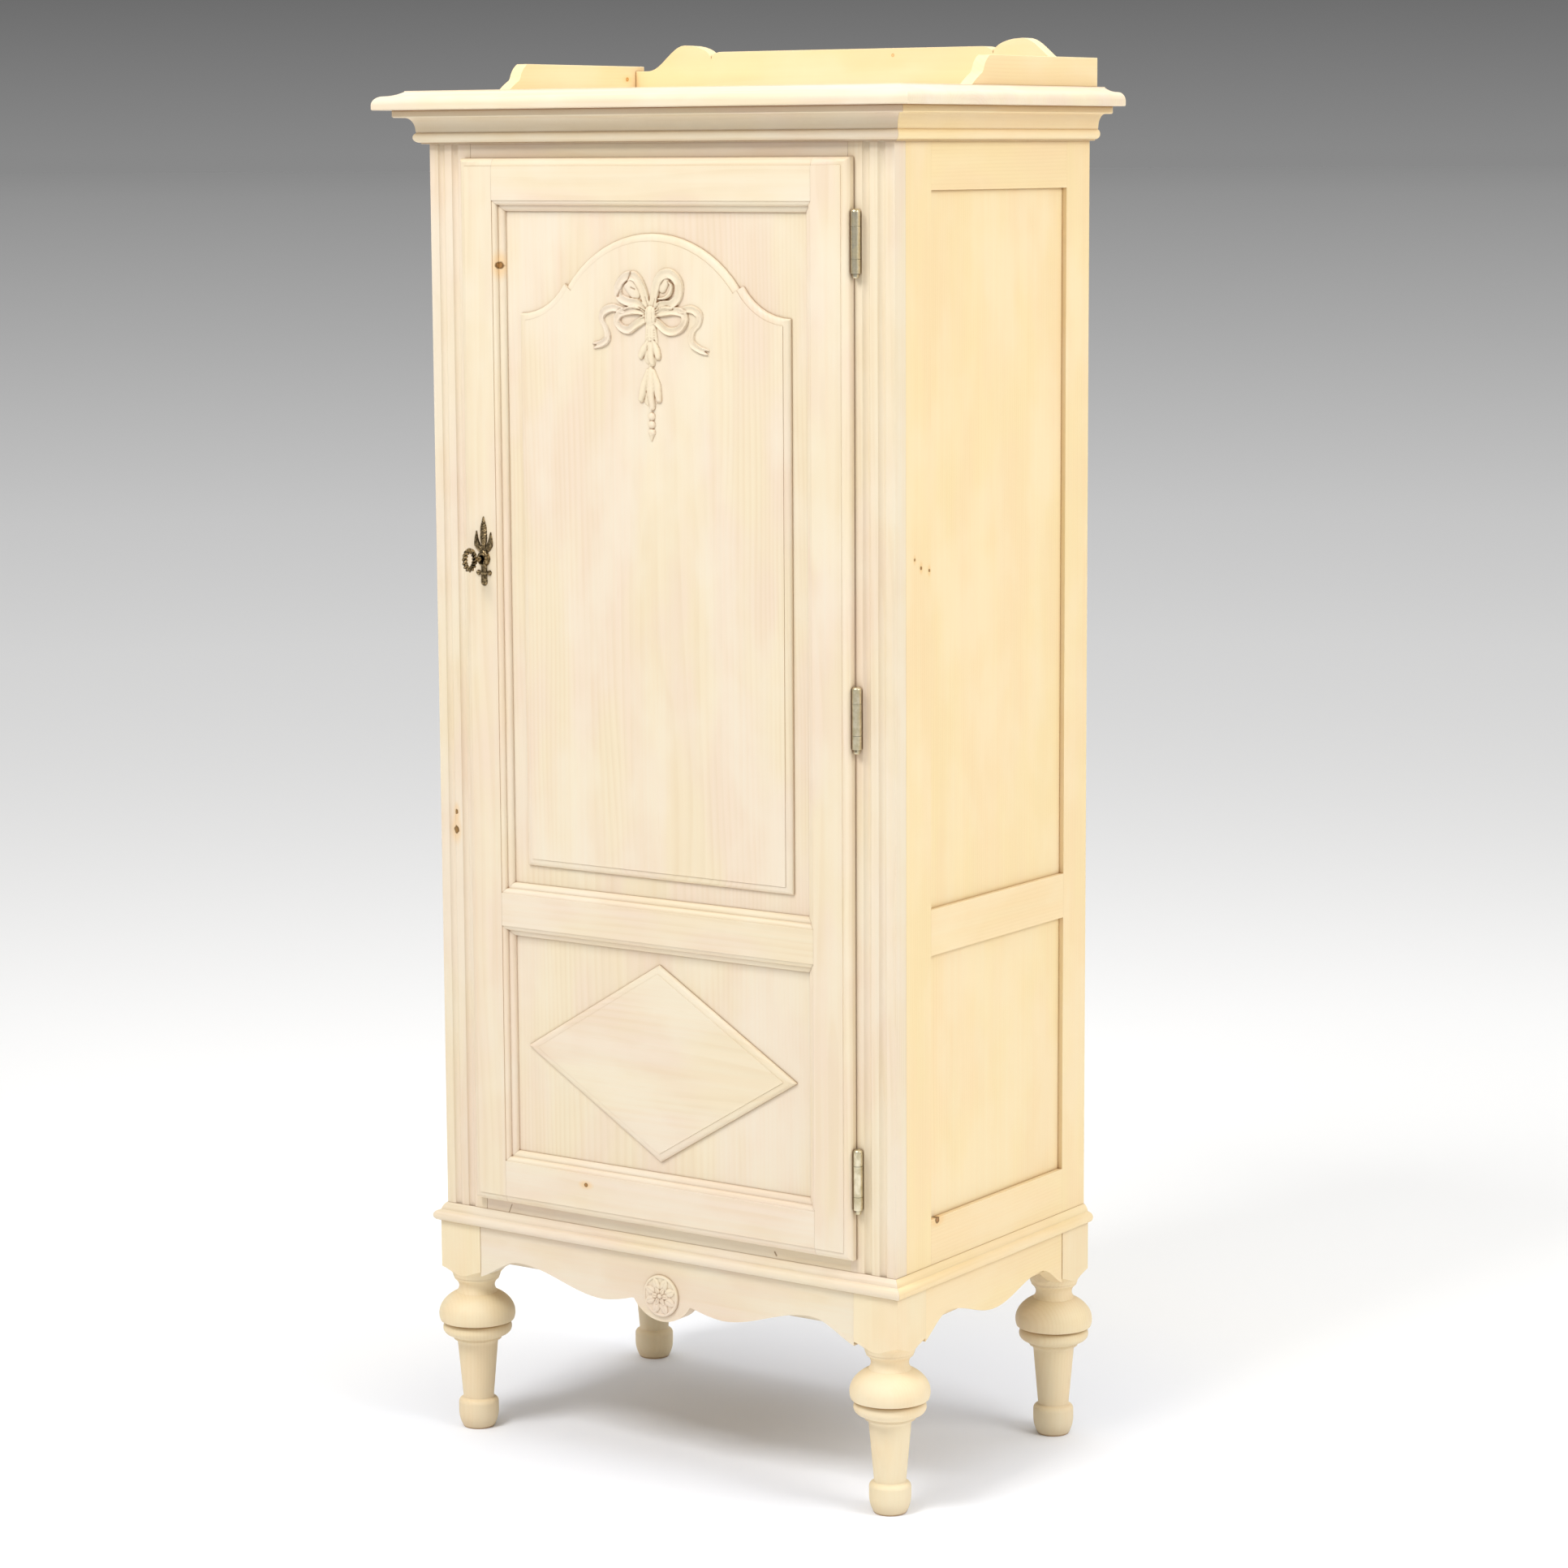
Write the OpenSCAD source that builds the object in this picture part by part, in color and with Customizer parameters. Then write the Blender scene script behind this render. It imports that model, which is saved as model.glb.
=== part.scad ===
// Single-door jelly cupboard of limed pine: a framed and panelled case on a turned leg frame,
// a lipped door with an arched field and a lozenge, a moulded cornice and a shaped gallery.
// Millimetres. The origin is on the floor, under the middle of the whole object.
// +X is the viewer's right, +Y the back, +Z up.

/* [Case] */
// Width of the case across its sides
case_w = 640; // [600:5:700]
// Depth of the case from the face frame to the back
case_d = 411; // [370:1:460]
// Height of the case between the leg frame and the top board
case_h = 1313; // [1250:1:1380]
// Thickness of the face frame
face_t = 22; // [20:1:25]
// Width of each face frame stile
face_stile_w = 60; // [56:1:66]
// Distance from the case's top down to the door opening
face_top_w = 63; // [58:1:70]
// Distance from the case's bottom up to the door opening
face_bottom_w = 44.5; // [40:0.5:50]
// Width of each flute in the face frame stiles
flute_w = 10; // [8:0.5:12]
// Depth of each flute
flute_d = 3; // [2:0.25:4]
// Distance from the case's corner to the first flute
flute_inset = 12; // [10:0.5:14]
// Plain band between the two flutes
flute_gap = 10; // [8:0.5:12]

/* [Case sides and back] */
// Thickness of the side frames
side_t = 20; // [18:1:24]
// Width of the side frames' stiles
side_stile_w = 51; // [45:1:58]
// Width of the side frames' top rail
side_top_w = 91.5; // [85:0.5:100]
// Width of the side frames' middle rail
side_mid_w = 52; // [45:1:60]
// Height of the middle rail's lower edge above the case's bottom
side_mid_z = 376; // [340:1:420]
// Width of the side frames' bottom rail
side_bottom_w = 74; // [68:1:82]
// Depth of the side panels behind the face of their frame
side_panel_recess = 6; // [4:0.5:7]
// Thickness of the side panels
side_panel_t = 8; // [6:0.5:9]
// Thickness of the back panel
back_t = 8; // [6:0.5:10]
// Width of the rear stiles' rebate that takes the back panel
back_rebate = 10; // [8:0.5:12]

/* [Shelves] */
// Thickness of the shelves and of the bottom board
shelf_t = 18; // [15:1:20]
// Depth of the housings in the side stiles that hold the shelves
housing_d = 5.5; // [4:0.25:6]
// Distance of the shelves' front edge behind the face frame
shelf_setback = 2; // [1:0.5:8]
// Depth of the bottom board's top below the edge of the door opening
floor_drop = 1.5; // [0.5:0.25:4]

/* [Joinery] */
// Depth of the grooves that hold the panels' edges
groove_d = 7; // [5:0.5:8]
// Room left for a panel to swell in its grooves
panel_play = 0.5; // [0.3:0.1:1]
// Length of the rails' tenons
tenon_l = 25; // [15:1:30]
// Thickness of the tenons in the face frame
tenon_t = 8; // [6:0.5:9]
// Shoulder above and below each tenon
tenon_shoulder = 8; // [6:1:10]

/* [Leg frame] */
// Height of the legs
leg_h = 257; // [240:1:275]
// Width of the square block at the top of each leg
leg_block = 59; // [54:1:64]
// Height of the square block
block_h = 67; // [62:1:74]
// How far the leg frame stands proud of the case
leg_proud = 6; // [3:0.5:8]
// Radius of the turned ball
ball_r = 45.8; // [40:0.2:48]
// Radius of the ring under the ball
ring_r = 41.4; // [38:0.2:44]
// Radius of the turned neck between block and ball
neck_r = 21.5; // [18:0.5:24]
// Radius of the shaft at its top
shaft_top_r = 24; // [21:0.5:27]
// Radius of the shaft at its bottom
shaft_low_r = 18.2; // [16:0.2:20]
// Radius of the foot at its widest
foot_r = 24; // [22:0.5:27]
// Radius of the foot's flat sole
sole_r = 18.3; // [16:0.1:20]
// Height of the foot below the shaft
foot_h = 36; // [32:1:40]
// Thickness of the aprons and of the rear rail
apron_t = 20; // [16:1:22]
// Setback of the aprons behind the faces of the leg blocks
apron_setback = 0.8; // [0.5:0.1:2]
// Depth of the aprons where they meet the legs
apron_end_d = 62; // [56:1:64]
// Depth of the aprons at the peaks of their arches
apron_peak_d = 37; // [32:1:42]
// Depth of the front apron at its low waves
apron_low_d = 61.5; // [56:0.5:66]
// Depth of the side aprons at their middle
side_apron_mid_d = 57.5; // [50:0.5:64]
// Distance of the front arches' peaks from the leg blocks
front_peak_x = 59; // [50:1:66]
// Distance of the side arches' peaks from the leg blocks
side_peak_y = 48; // [38:1:52]
// Distance of the front low waves from the middle
front_low_x = 85; // [78:1:92]
// Radius of the round drop in the middle of the front apron
drop_r = 47; // [44:1:50]
// Depth of the front apron at the bottom of the round drop
drop_d = 75.5; // [72:0.5:80]
// Half width of the round drop
drop_half = 40; // [37:0.5:42]
// Radius of the rosette
rosette_r = 24.5; // [22:0.5:26]
// Thickness of the rosette's disc
rosette_t = 3.5; // [3:0.5:5]
// Depth of the rosette's centre below the leg frame's top
rosette_z = 44.5; // [42:0.5:47]
// Depth of the rear rail
rear_rail_d = 55; // [45:1:62]

/* [Base moulding] */
// Height of the base moulding
base_h = 21.5; // [19:0.5:24]
// Overhang of the base moulding from the case
base_over = 13; // [12:0.5:16]
// Radius of the base moulding's nose
base_nose_r = 6.25; // [5:0.25:7]

/* [Cornice] */
// Thickness of the top board
top_t = 22; // [20:0.5:26]
// Overhang of the top board from the case
top_over = 47.5; // [44:0.5:52]
// Length of the board's sloping upper edge
top_slope = 27.5; // [24:0.5:30]
// Height of the moulding under the top board
bed_h = 38.5; // [36:0.5:42]
// Overhang of that moulding's square fillet
bed_over = 30.5; // [28:0.5:33]
// Height of the square fillet
bed_fillet = 8.5; // [7:0.5:10]
// Radius of the bead at the foot of the moulding
bead_r = 6; // [5:0.25:6.5]

/* [Gallery] */
// Thickness of the gallery's side returns
return_t = 16; // [14:1:20]
// Overhang of the side returns outside the case
return_out = 10; // [6:1:14]
// Height of the side returns
return_h = 33; // [28:1:36]
// Length of the side returns
return_l = 271.5; // [240:0.5:290]
// Length of the shaped front end of the side returns
return_nose = 38; // [32:1:44]
// Thickness of the gallery's back board
gallery_t = 18; // [14:1:20]
// Height of the back board at its low ends
gallery_end_h = 27; // [22:1:30]
// Height of the back board's straight rail
gallery_rail_h = 48.5; // [44:0.5:52]
// Height of the two humps
gallery_hump_h = 57; // [53:1:62]
// Height of the valleys beside the straight rail
gallery_valley_h = 40.5; // [37:0.5:43]
// Length of the low flat at each end of the back board
gallery_flat = 19; // [12:1:24]
// Distance of each hump from the gallery's end
hump_x = 74; // [68:1:80]
// Distance from each hump to the valley beside it
valley_x = 39.5; // [35:0.5:44]

/* [Door] */
// Overlap of the door's lip on the face frame
lip_overlap = 8; // [6:0.5:9]
// Gap round the part of the door that enters the opening
door_gap = 1.5; // [1.2:0.1:2.5]
// Gap between the lip and the face frame
lip_gap = 0.5; // [0.3:0.1:1]
// Thickness of the lip
lip_t = 13.5; // [12:0.5:15]
// Depth of the part of the door that enters the opening
door_inset = 8.5; // [7:0.5:10]
// Width of the moulded outer edge
edge_w = 9; // [7:0.5:10]
// Depth of the moulded outer edge
edge_d = 8; // [6:0.5:9]
// Width of the door's stiles to the panel mouldings
door_stile_w = 48; // [44:1:52]
// Width of the door's top rail
door_top_w = 47.5; // [44:0.5:52]
// Width of the door's middle rail
door_mid_w = 39; // [34:1:46]
// Height of the middle rail's lower edge above the door's bottom
door_mid_z = 333.5; // [310:0.5:350]
// Width of the door's bottom rail
door_bottom_w = 51.5; // [46:0.5:58]
// Width of the moulding round each door panel
stick_w = 12.3; // [10:0.1:14]
// Depth of the door panels below the face of the door
panel_recess = 12.6; // [11:0.1:13.5]
// Thickness of the door panels
door_panel_t = 7; // [6:0.25:7.5]

/* [Door ornament] */
// Thickness of the arched field and of the lozenge
field_t = 6.2; // [5:0.2:7]
// Width of their moulded edge
field_edge_w = 8.4; // [6:0.2:10]
// Margin of the arched field at the sides of its panel
field_side_gap = 20.7; // [16:0.1:26]
// Margin of the arched field at the bottom of its panel
field_low_gap = 22.5; // [18:0.5:28]
// Margin above the top of the arch
field_top_gap = 24; // [18:0.5:30]
// Half width of the middle arch
arch_half = 119; // [110:1:126]
// Rise of the middle arch
arch_rise = 60; // [54:0.5:66]
// Width of the small ears beside the arch
ear_w = 5; // [3:0.5:8]
// Rise of the ears above the arch's ends
ear_rise = 3; // [2:0.25:4]
// Drop from the ears to the shoulders' ends
shoulder_drop = 34.5; // [30:0.5:38]
// Margin of the lozenge at the sides of its panel
lozenge_side_gap = 17.5; // [14:0.5:24]
// Margin of the lozenge at the top and bottom of its panel
lozenge_end_gap = 13.3; // [10:0.1:20]
// Relief of the carved bow
bow_t = 4; // [3:0.25:5]
// Half width of the carved bow, from its knot to the end of a ribbon
bow_half = 81; // [74:1:90]
// Distance of the bow's knot below the top of the arch
bow_drop = 91; // [86:1:100]

/* [Hinges] */
// Height of each hinge leaf
leaf_h = 66; // [60:1:70]
// Thickness of the hinge leaves
leaf_t = 1.6; // [1.2:0.1:2]
// Radius of the hinge barrels
barrel_r = 5.25; // [4.75:0.05:5.5]
// Length of the middle knuckle
mid_knuckle = 35; // [30:1:38]
// Gap between knuckles
knuckle_gap = 0.3; // [0.2:0.05:0.5]
// Radius of the hinge pins
pin_r = 2.4; // [2:0.1:2.8]
// Running clearance on the pins
pin_play = 0.05; // [0.02:0.01:0.09]
// Clearance between the barrels and the wood
barrel_gap = 0.5; // [0.4:0.05:0.7]
// Distance from the door's top and bottom to the nearer hinge's middle
hinge_inset = 92; // [80:1:110]
// Depth of the frame leaves along the edge of the opening
frame_leaf_d = 18; // [15:0.5:19]
// Width of the door leaves across the back of the stile
door_leaf_w = 18; // [14:0.5:22]

/* [Lock and key] */
// Distance of the keyhole from the door's outer edge
key_backset = 30; // [29:0.5:31]
// Height of the keyhole above the door's bottom
key_z = 763.5; // [700:0.5:820]
// Width of the lock case
lock_w = 36; // [35:0.5:38]
// Height of the lock case
lock_h = 60; // [54:1:70]
// Depth of the lock case
lock_d = 12; // [12:0.25:12.5]
// Thickness of the lock case's walls
lock_wall = 1.5; // [1.2:0.1:1.6]
// Travel of the bolt for a quarter turn of the key
bolt_throw = 10; // [8:0.5:10]
// Thickness of the bolt
bolt_t = 4; // [3.5:0.1:4.2]
// Height of the bolt
bolt_h = 12; // [11:0.5:14]
// Running room round the bolt
bolt_play = 0.3; // [0.2:0.05:0.35]
// Radius of the turning follower
follower_r = 6.5; // [6.2:0.1:7]
// Running clearance round the follower and the key's pin
follower_play = 0.06; // [0.02:0.01:0.09]
// Radius of the key's shank
shank_r = 2; // [1.8:0.1:2.2]
// Thickness of the key's bit
bit_t = 1.8; // [1.4:0.1:2]
// Reach of the key's bit from the shank's centre
bit_reach = 5; // [4.6:0.1:5.2]
// Thickness of the key plate
plate_t = 3.5; // [2.5:0.25:4]
// Height of the key plate's boss above the plate
boss_t = 2.5; // [1.5:0.25:3]
// Radius of the key's bow wire
bow_wire_r = 2.7; // [2.2:0.1:3]
// Width of the key's bow along the shank
bow_w = 24.6; // [22:0.2:28]
// Height of the key's bow
bow_h = 28.4; // [26:0.2:32]
// Distance from the key plate's boss to the bow
key_neck = 8.4; // [7:0.2:12]

/* [Hidden] */

$fn = 64;
eps = 0.01;
pine = "#efe2c8";
pine_side = "#efdcb2";
nickel = "#b5ada0";
bronze = "#5c4c36";
steel = "#9a9a98";

// Door thickness, and how far the door's face stands in front of the case
door_proud = lip_gap + lip_t;
// The key's bow reaches further forward than the cornice, and the rear legs' balls behind the case
key_reach = door_proud + plate_t + boss_t + key_neck + bow_w;
front_reach = max(key_reach, top_over);
rear_reach = max(0, ball_r - leg_block / 2);
yb = (case_d + front_reach - rear_reach) / 2;
yf = yb - case_d;
xs = case_w / 2;
z0 = leg_h;
z1 = leg_h + case_h;
z_top = z1 + top_t;

// Door opening in the face frame
open_x = xs - face_stile_w;
open_z0 = z0 + face_bottom_w;
open_z1 = z1 - face_top_w;
shelf_floor = open_z0 - floor_drop;

// Leg frame planes
leg_x = xs + leg_proud;
leg_yf = yf - leg_proud;
block_z = leg_h - block_h;

// Side frame planes
side_y0 = yf + face_t;
side_y1 = side_y0 + side_stile_w;
side_y2 = yb - side_stile_w;
side_in = xs - side_t;
side_mid_z0 = z0 + side_mid_z;
side_openings = [
  [z0 + side_bottom_w, side_mid_z0],
  [side_mid_z0 + side_mid_w, z1 - side_top_w]
];

// Door planes and outline
door_x = open_x + lip_overlap;
door_z0 = open_z0 - lip_overlap;
door_z1 = open_z1 + lip_overlap;
door_yf = yf - door_proud;
lip_yb = yf - lip_gap;
door_yb = lip_yb + door_inset;
lip_w = lip_overlap + door_gap;
face_x = door_x - door_stile_w;
panel_x = face_x - stick_w;
panel_yf = door_yf + panel_recess;
panel_yb = panel_yf + door_panel_t;
mid_z0 = door_z0 + door_mid_z;
mid_z1 = mid_z0 + door_mid_w;
openings = [[door_z0 + door_bottom_w, mid_z0], [mid_z1, door_z1 - door_top_w]];
quirk = 1;

// Arched field, worked out from the upper panel's sight size
field_x = panel_x - field_side_gap;
field_z0 = openings[1][0] + stick_w + field_low_gap;
field_z1 = openings[1][1] - stick_w - field_top_gap;
arch_r = (pow(arch_half, 2) + pow(arch_rise, 2)) / (2 * arch_rise);
arch_end = [arch_half, field_z1 - arch_rise];
ear_end = arch_end + [ear_w, ear_rise];
shoulder_r = (pow(field_x - ear_end[0], 2) + pow(shoulder_drop, 2)) / (2 * shoulder_drop);
arch_c = [0, field_z1 - arch_r];
shoulder_c = [field_x, ear_end[1] - shoulder_drop + shoulder_r];
field_yf = panel_yf - field_t;

// Lozenge, worked out from the lower panel's sight size
lozenge_a = panel_x - lozenge_side_gap;
lozenge_b = (openings[0][1] - openings[0][0]) / 2 - stick_w - lozenge_end_gap;
lozenge_z = (openings[0][0] + openings[0][1]) / 2;

// Hinges
barrel_side_gap = 0.35;
hinge_x = door_x + barrel_r + barrel_side_gap;
hinge_y = yf - barrel_r - barrel_gap;
hinge_zs = [door_z0 + hinge_inset, (door_z0 + door_z1) / 2, door_z1 - hinge_inset];
pin_bore_r = pin_r + pin_play;
inset_x = open_x - door_gap;
neck_half = 2.7;

// Lock and key
key_x = -door_x + key_backset;
key_zc = door_z0 + key_z;
lock_x0 = -inset_x + 0.5;
lock_x1 = lock_x0 + lock_w;
lock_y1 = door_yb + lock_d;
crank_r = bolt_throw / sqrt(2);
crank_pin_r = 1.5;
crank_t = 2;
bolt_y1 = lock_y1 - lock_wall - bolt_play;
bolt_y0 = bolt_y1 - bolt_t;
crank_y1 = bolt_y0 - bolt_play;
crank_y0 = crank_y1 - crank_t;
bolt_z0 = key_zc - 1;
follower_y0 = door_yb - 4;
key_end_y = crank_y0 - 0.5;
bit_l = 6;
plate_yf = door_yf - plate_t;
boss_yf = plate_yf - boss_t;
bow_yc = boss_yf - key_neck - bow_w / 2;
bow_line_r = bow_w / 2 - bow_wire_r;
bow_flat = bow_h - bow_w;

// Points along an arc of an ellipse, from angle a0 to a1
function arc(cx, cy, rx, ry, a0, a1, n = 8) =
  [for (i = [0:n]) let (a = a0 + (a1 - a0) * i / n) [cx + rx * cos(a), cy + ry * sin(a)]];
// A smooth wave between two levels, which may leave out its first part
function wave(x0, y0, x1, y1, n = 10, skip = 0) =
  [for (i = [0:n]) let (t = skip + (1 - skip) * i / n)
    [x0 + (x1 - x0) * t, y0 + (y1 - y0) * (1 - cos(180 * t)) / 2]];
// A shallow curve between two points, bulging by s to the left of its way
function bulge(p, q, s, n = 6) =
  [for (i = [0:n]) let (t = i / n, d = q - p)
    p + d * t + [-d[1], d[0]] * (4 * s * t * (1 - t) / norm(d))];
function without_first(p) = [for (i = [1:len(p) - 1]) p[i]];
// A whole outline from its right half, which may end on the middle line
function both(p) = concat(p, [for (i = [len(p) - 1:-1:0]) if (p[i][0] > eps) [-p[i][0], p[i][1]]]);

module board(x0, x1, y0, y1, z0, z1)
  translate([x0, y0, z0]) cube([x1 - x0, y1 - y0, z1 - z0]);
// Prisms along X, Y and Z of an outline drawn in YZ, XZ and XY
module prism_x(x0, x1) translate([x0, 0, 0]) rotate([90, 0, 90]) linear_extrude(x1 - x0) children();
module prism_y(y0, y1) translate([0, y1, 0]) rotate([90, 0, 0]) linear_extrude(y1 - y0) children();
module prism_z(z0, z1) translate([0, 0, z0]) linear_extrude(z1 - z0) children();
module rod_y(r, y0, y1) translate([0, y1, 0]) rotate([90, 0, 0]) cylinder(r = r, h = y1 - y0);
module mirror_to(s) mirror([s < 0 ? 1 : 0, 0, 0]) children();

// Solid between matching outlines, one per level: a list of [outline, height], raised towards -Y
module lofted(levels) {
  n = len(levels[0][0]);
  m = len(levels);
  points = [for (l = levels) for (p = l[0]) [p[0], -l[1], p[1]]];
  sides = [for (k = [0:m - 2]) for (i = [0:n - 1])
    let (j = (i + 1) % n, a = k * n + i, b = k * n + j, c = a + n, d = b + n)
      each [[a, c, d], [a, d, b]]];
  back = [[for (i = [0:n - 1]) i]];
  front = [[for (i = [n - 1:-1:0]) (m - 1) * n + i]];
  polyhedron(points, concat(sides, back, front), convexity = 6);
}

// Leg frame
foot_bulge_z = foot_h * 0.56;
foot_shoulder = 6;
foot_side_r = (pow(foot_r - sole_r, 2) + pow(foot_bulge_z, 2)) / (2 * (foot_r - sole_r));
foot_side_a = asin(foot_bulge_z / foot_side_r);
neck_cove = 10;
neck_z = block_z - 15.3;
ball_z = block_z - 49;
ball_h = 31;
ring_h = 8.5;
ring_z = ball_z - 17.5;
shaft_top_z = ring_z - 21;
neck_join_r = neck_r + neck_cove * (1 - cos(44));
ball_a = acos(neck_join_r / ball_r);
ball_groove_a = -asin(8 / ball_h);
pommel_r = leg_block / 2 - 1.5;
pommel_z = block_z - 3.2;
pommel_rise = 16.2;
hollow_r = ring_r - 12.5;

function leg_profile() = concat(
  [[0, 0]],
  arc(foot_r - foot_side_r, foot_bulge_z, foot_side_r, foot_side_r, -foot_side_a, 0, 6),
  arc(foot_r - foot_shoulder, foot_h - foot_shoulder, foot_shoulder, foot_shoulder, 0, 80, 5),
  [[shaft_low_r, foot_h + 1]],
  [[shaft_top_r, shaft_top_z]],
  arc(shaft_top_r + 5, shaft_top_z, 5, 7, 180, 100, 5),
  [[hollow_r, shaft_top_z + 7], [hollow_r, ring_z - ring_h - 2.5]],
  arc(ring_r - ring_h, ring_z, ring_h, ring_h, -90, 60, 9),
  [[ring_r - 1.5, ring_z + 9]],
  arc(0, ball_z, ball_r, ball_h, ball_groove_a, 0, 3),
  arc(0, ball_z, ball_r, ball_h, 6, ball_a, 11),
  arc(neck_r + neck_cove, neck_z, neck_cove, neck_cove, 224, 136, 8),
  [[pommel_r - 1, neck_z + 9.5], [pommel_r - 1, pommel_z], [0, pommel_z]]
);

module turned_leg() {
  rotate_extrude($fn = 96) polygon(leg_profile());
  intersection() {
    board(-leg_block / 2, leg_block / 2, -leg_block / 2, leg_block / 2, pommel_z - eps, leg_h);
    rotate_extrude($fn = 96) polygon(concat(
      [[0, leg_h], [leg_block, leg_h], [leg_block, pommel_z + pommel_rise]],
      arc(leg_block, pommel_z, leg_block - pommel_r, pommel_rise, 90, 180, 6),
      [[0, pommel_z]]
    ));
  }
}

// Centre line and height of the tenons that join the aprons to the leg blocks
apron_tenon_l = 18;
apron_tenon_t = 9;
apron_tenon_h = 34;
apron_tenon_z = leg_h - tenon_shoulder - apron_tenon_h;
tenon_off = leg_block / 2 - apron_setback - apron_t / 2;
block_in_x = leg_x - leg_block;
block_front_y = leg_yf + leg_block;
block_rear_y = yb - leg_block;

module leg_tenons(sx, sy) {
  translate([sx > 0 ? -leg_block / 2 : leg_block / 2 - apron_tenon_l,
      sy * tenon_off - apron_tenon_t / 2, apron_tenon_z])
    cube([apron_tenon_l, apron_tenon_t, apron_tenon_h]);
  translate([sx * tenon_off - apron_tenon_t / 2,
      sy > 0 ? -leg_block / 2 : leg_block / 2 - apron_tenon_l, apron_tenon_z])
    cube([apron_tenon_t, apron_tenon_l, apron_tenon_h]);
}
module leg_place(sx, sy)
  translate([sx * (leg_x - leg_block / 2), sy < 0 ? leg_yf + leg_block / 2 : yb - leg_block / 2, 0])
    children();
module leg(sx, sy) color(pine) leg_place(sx, sy) difference() {
  turned_leg();
  leg_tenons(sx, sy);
}

// Aprons: a half outline from the leg block to the middle, as [distance from the middle, height]
curve_lead = 16;
function apron_rise(edge, peak) =
  let (skip = curve_lead / (edge - peak + curve_lead), k = (1 - cos(180 * skip)) / 2,
    zp = leg_h - apron_peak_d, start = (leg_h - apron_end_d - zp * k) / (1 - k))
  wave(edge + curve_lead, start, peak, zp, 10, skip);
front_peak = block_in_x - front_peak_x;
drop_zc = leg_h - drop_d + drop_r;
drop_a = asin(drop_half / drop_r);
drop_edge_z = drop_zc - drop_r * cos(drop_a);
function front_apron_half() = concat(
  [[block_in_x, leg_h]],
  apron_rise(block_in_x, front_peak),
  without_first(wave(front_peak, leg_h - apron_peak_d, front_low_x, leg_h - apron_low_d, 14)),
  without_first(bulge([front_low_x, leg_h - apron_low_d], [drop_half + 3, drop_edge_z], 1.2, 4)),
  arc(0, drop_zc, drop_r, drop_r, drop_a - 90, -90, 8)
);
front_apron_y = leg_yf + apron_setback;
module front_apron() color(pine) {
  half = front_apron_half();
  prism_y(front_apron_y, front_apron_y + apron_t) polygon(both(half));
  board(-block_in_x - apron_tenon_l, block_in_x + apron_tenon_l,
    leg_yf + leg_block / 2 - tenon_off - apron_tenon_t / 2,
    leg_yf + leg_block / 2 - tenon_off + apron_tenon_t / 2, apron_tenon_z, apron_tenon_z + apron_tenon_h);
}
module rear_base_rail() color(pine) {
  board(-block_in_x, block_in_x, yb - apron_setback - apron_t, yb - apron_setback,
    leg_h - rear_rail_d, leg_h);
  board(-block_in_x - apron_tenon_l, block_in_x + apron_tenon_l,
    yb - leg_block / 2 + tenon_off - apron_tenon_t / 2,
    yb - leg_block / 2 + tenon_off + apron_tenon_t / 2, apron_tenon_z, apron_tenon_z + apron_tenon_h);
}
side_half = (block_rear_y - block_front_y) / 2;
side_mid_y = (block_rear_y + block_front_y) / 2;
side_peak = side_half - side_peak_y;
function side_apron_half() = concat(
  [[side_half, leg_h]],
  apron_rise(side_half, side_peak),
  without_first(wave(side_peak, leg_h - apron_peak_d, 0, leg_h - side_apron_mid_d, 14))
);
// Drawn for the right side; the left is its mirror image
module side_apron() {
  half = side_apron_half();
  x1 = leg_x - apron_setback;
  prism_x(x1 - apron_t, x1) translate([side_mid_y, 0]) polygon(both(half));
  board(leg_x - leg_block / 2 + tenon_off - apron_tenon_t / 2,
    leg_x - leg_block / 2 + tenon_off + apron_tenon_t / 2,
    block_front_y - apron_tenon_l, block_rear_y + apron_tenon_l,
    apron_tenon_z, apron_tenon_z + apron_tenon_h);
}
petals = 8;
petal_r = 7.5;
petal_rise = 2.6;
bud_r = 8;
bud_rise = 3.4;
module apron_rosette() color(pine) translate([0, front_apron_y, leg_h - rosette_z]) rotate([90, 0, 0]) {
  rotate_extrude() polygon(concat(
    [[0, 0], [rosette_r, 0]],
    arc(rosette_r - 2, rosette_t - 1.5, 2, 1.5, 0, 90, 3),
    bulge([rosette_r - 3, rosette_t], [bud_r - 2, rosette_t - 0.8], -0.8, 5),
    [[0, rosette_t - 0.8]]
  ));
  intersection() {
    cylinder(r = rosette_r, h = rosette_t + bud_rise);
    union() {
      for (i = [0:petals - 1]) rotate(360 * (i + 0.5) / petals)
        translate([(rosette_r + bud_r) / 2 - 1, 0, rosette_t + petal_rise - petal_r - 1.2])
          sphere(r = petal_r);
      translate([0, 0, rosette_t + bud_rise - bud_r - 1]) sphere(r = bud_r);
    }
  }
}

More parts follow.
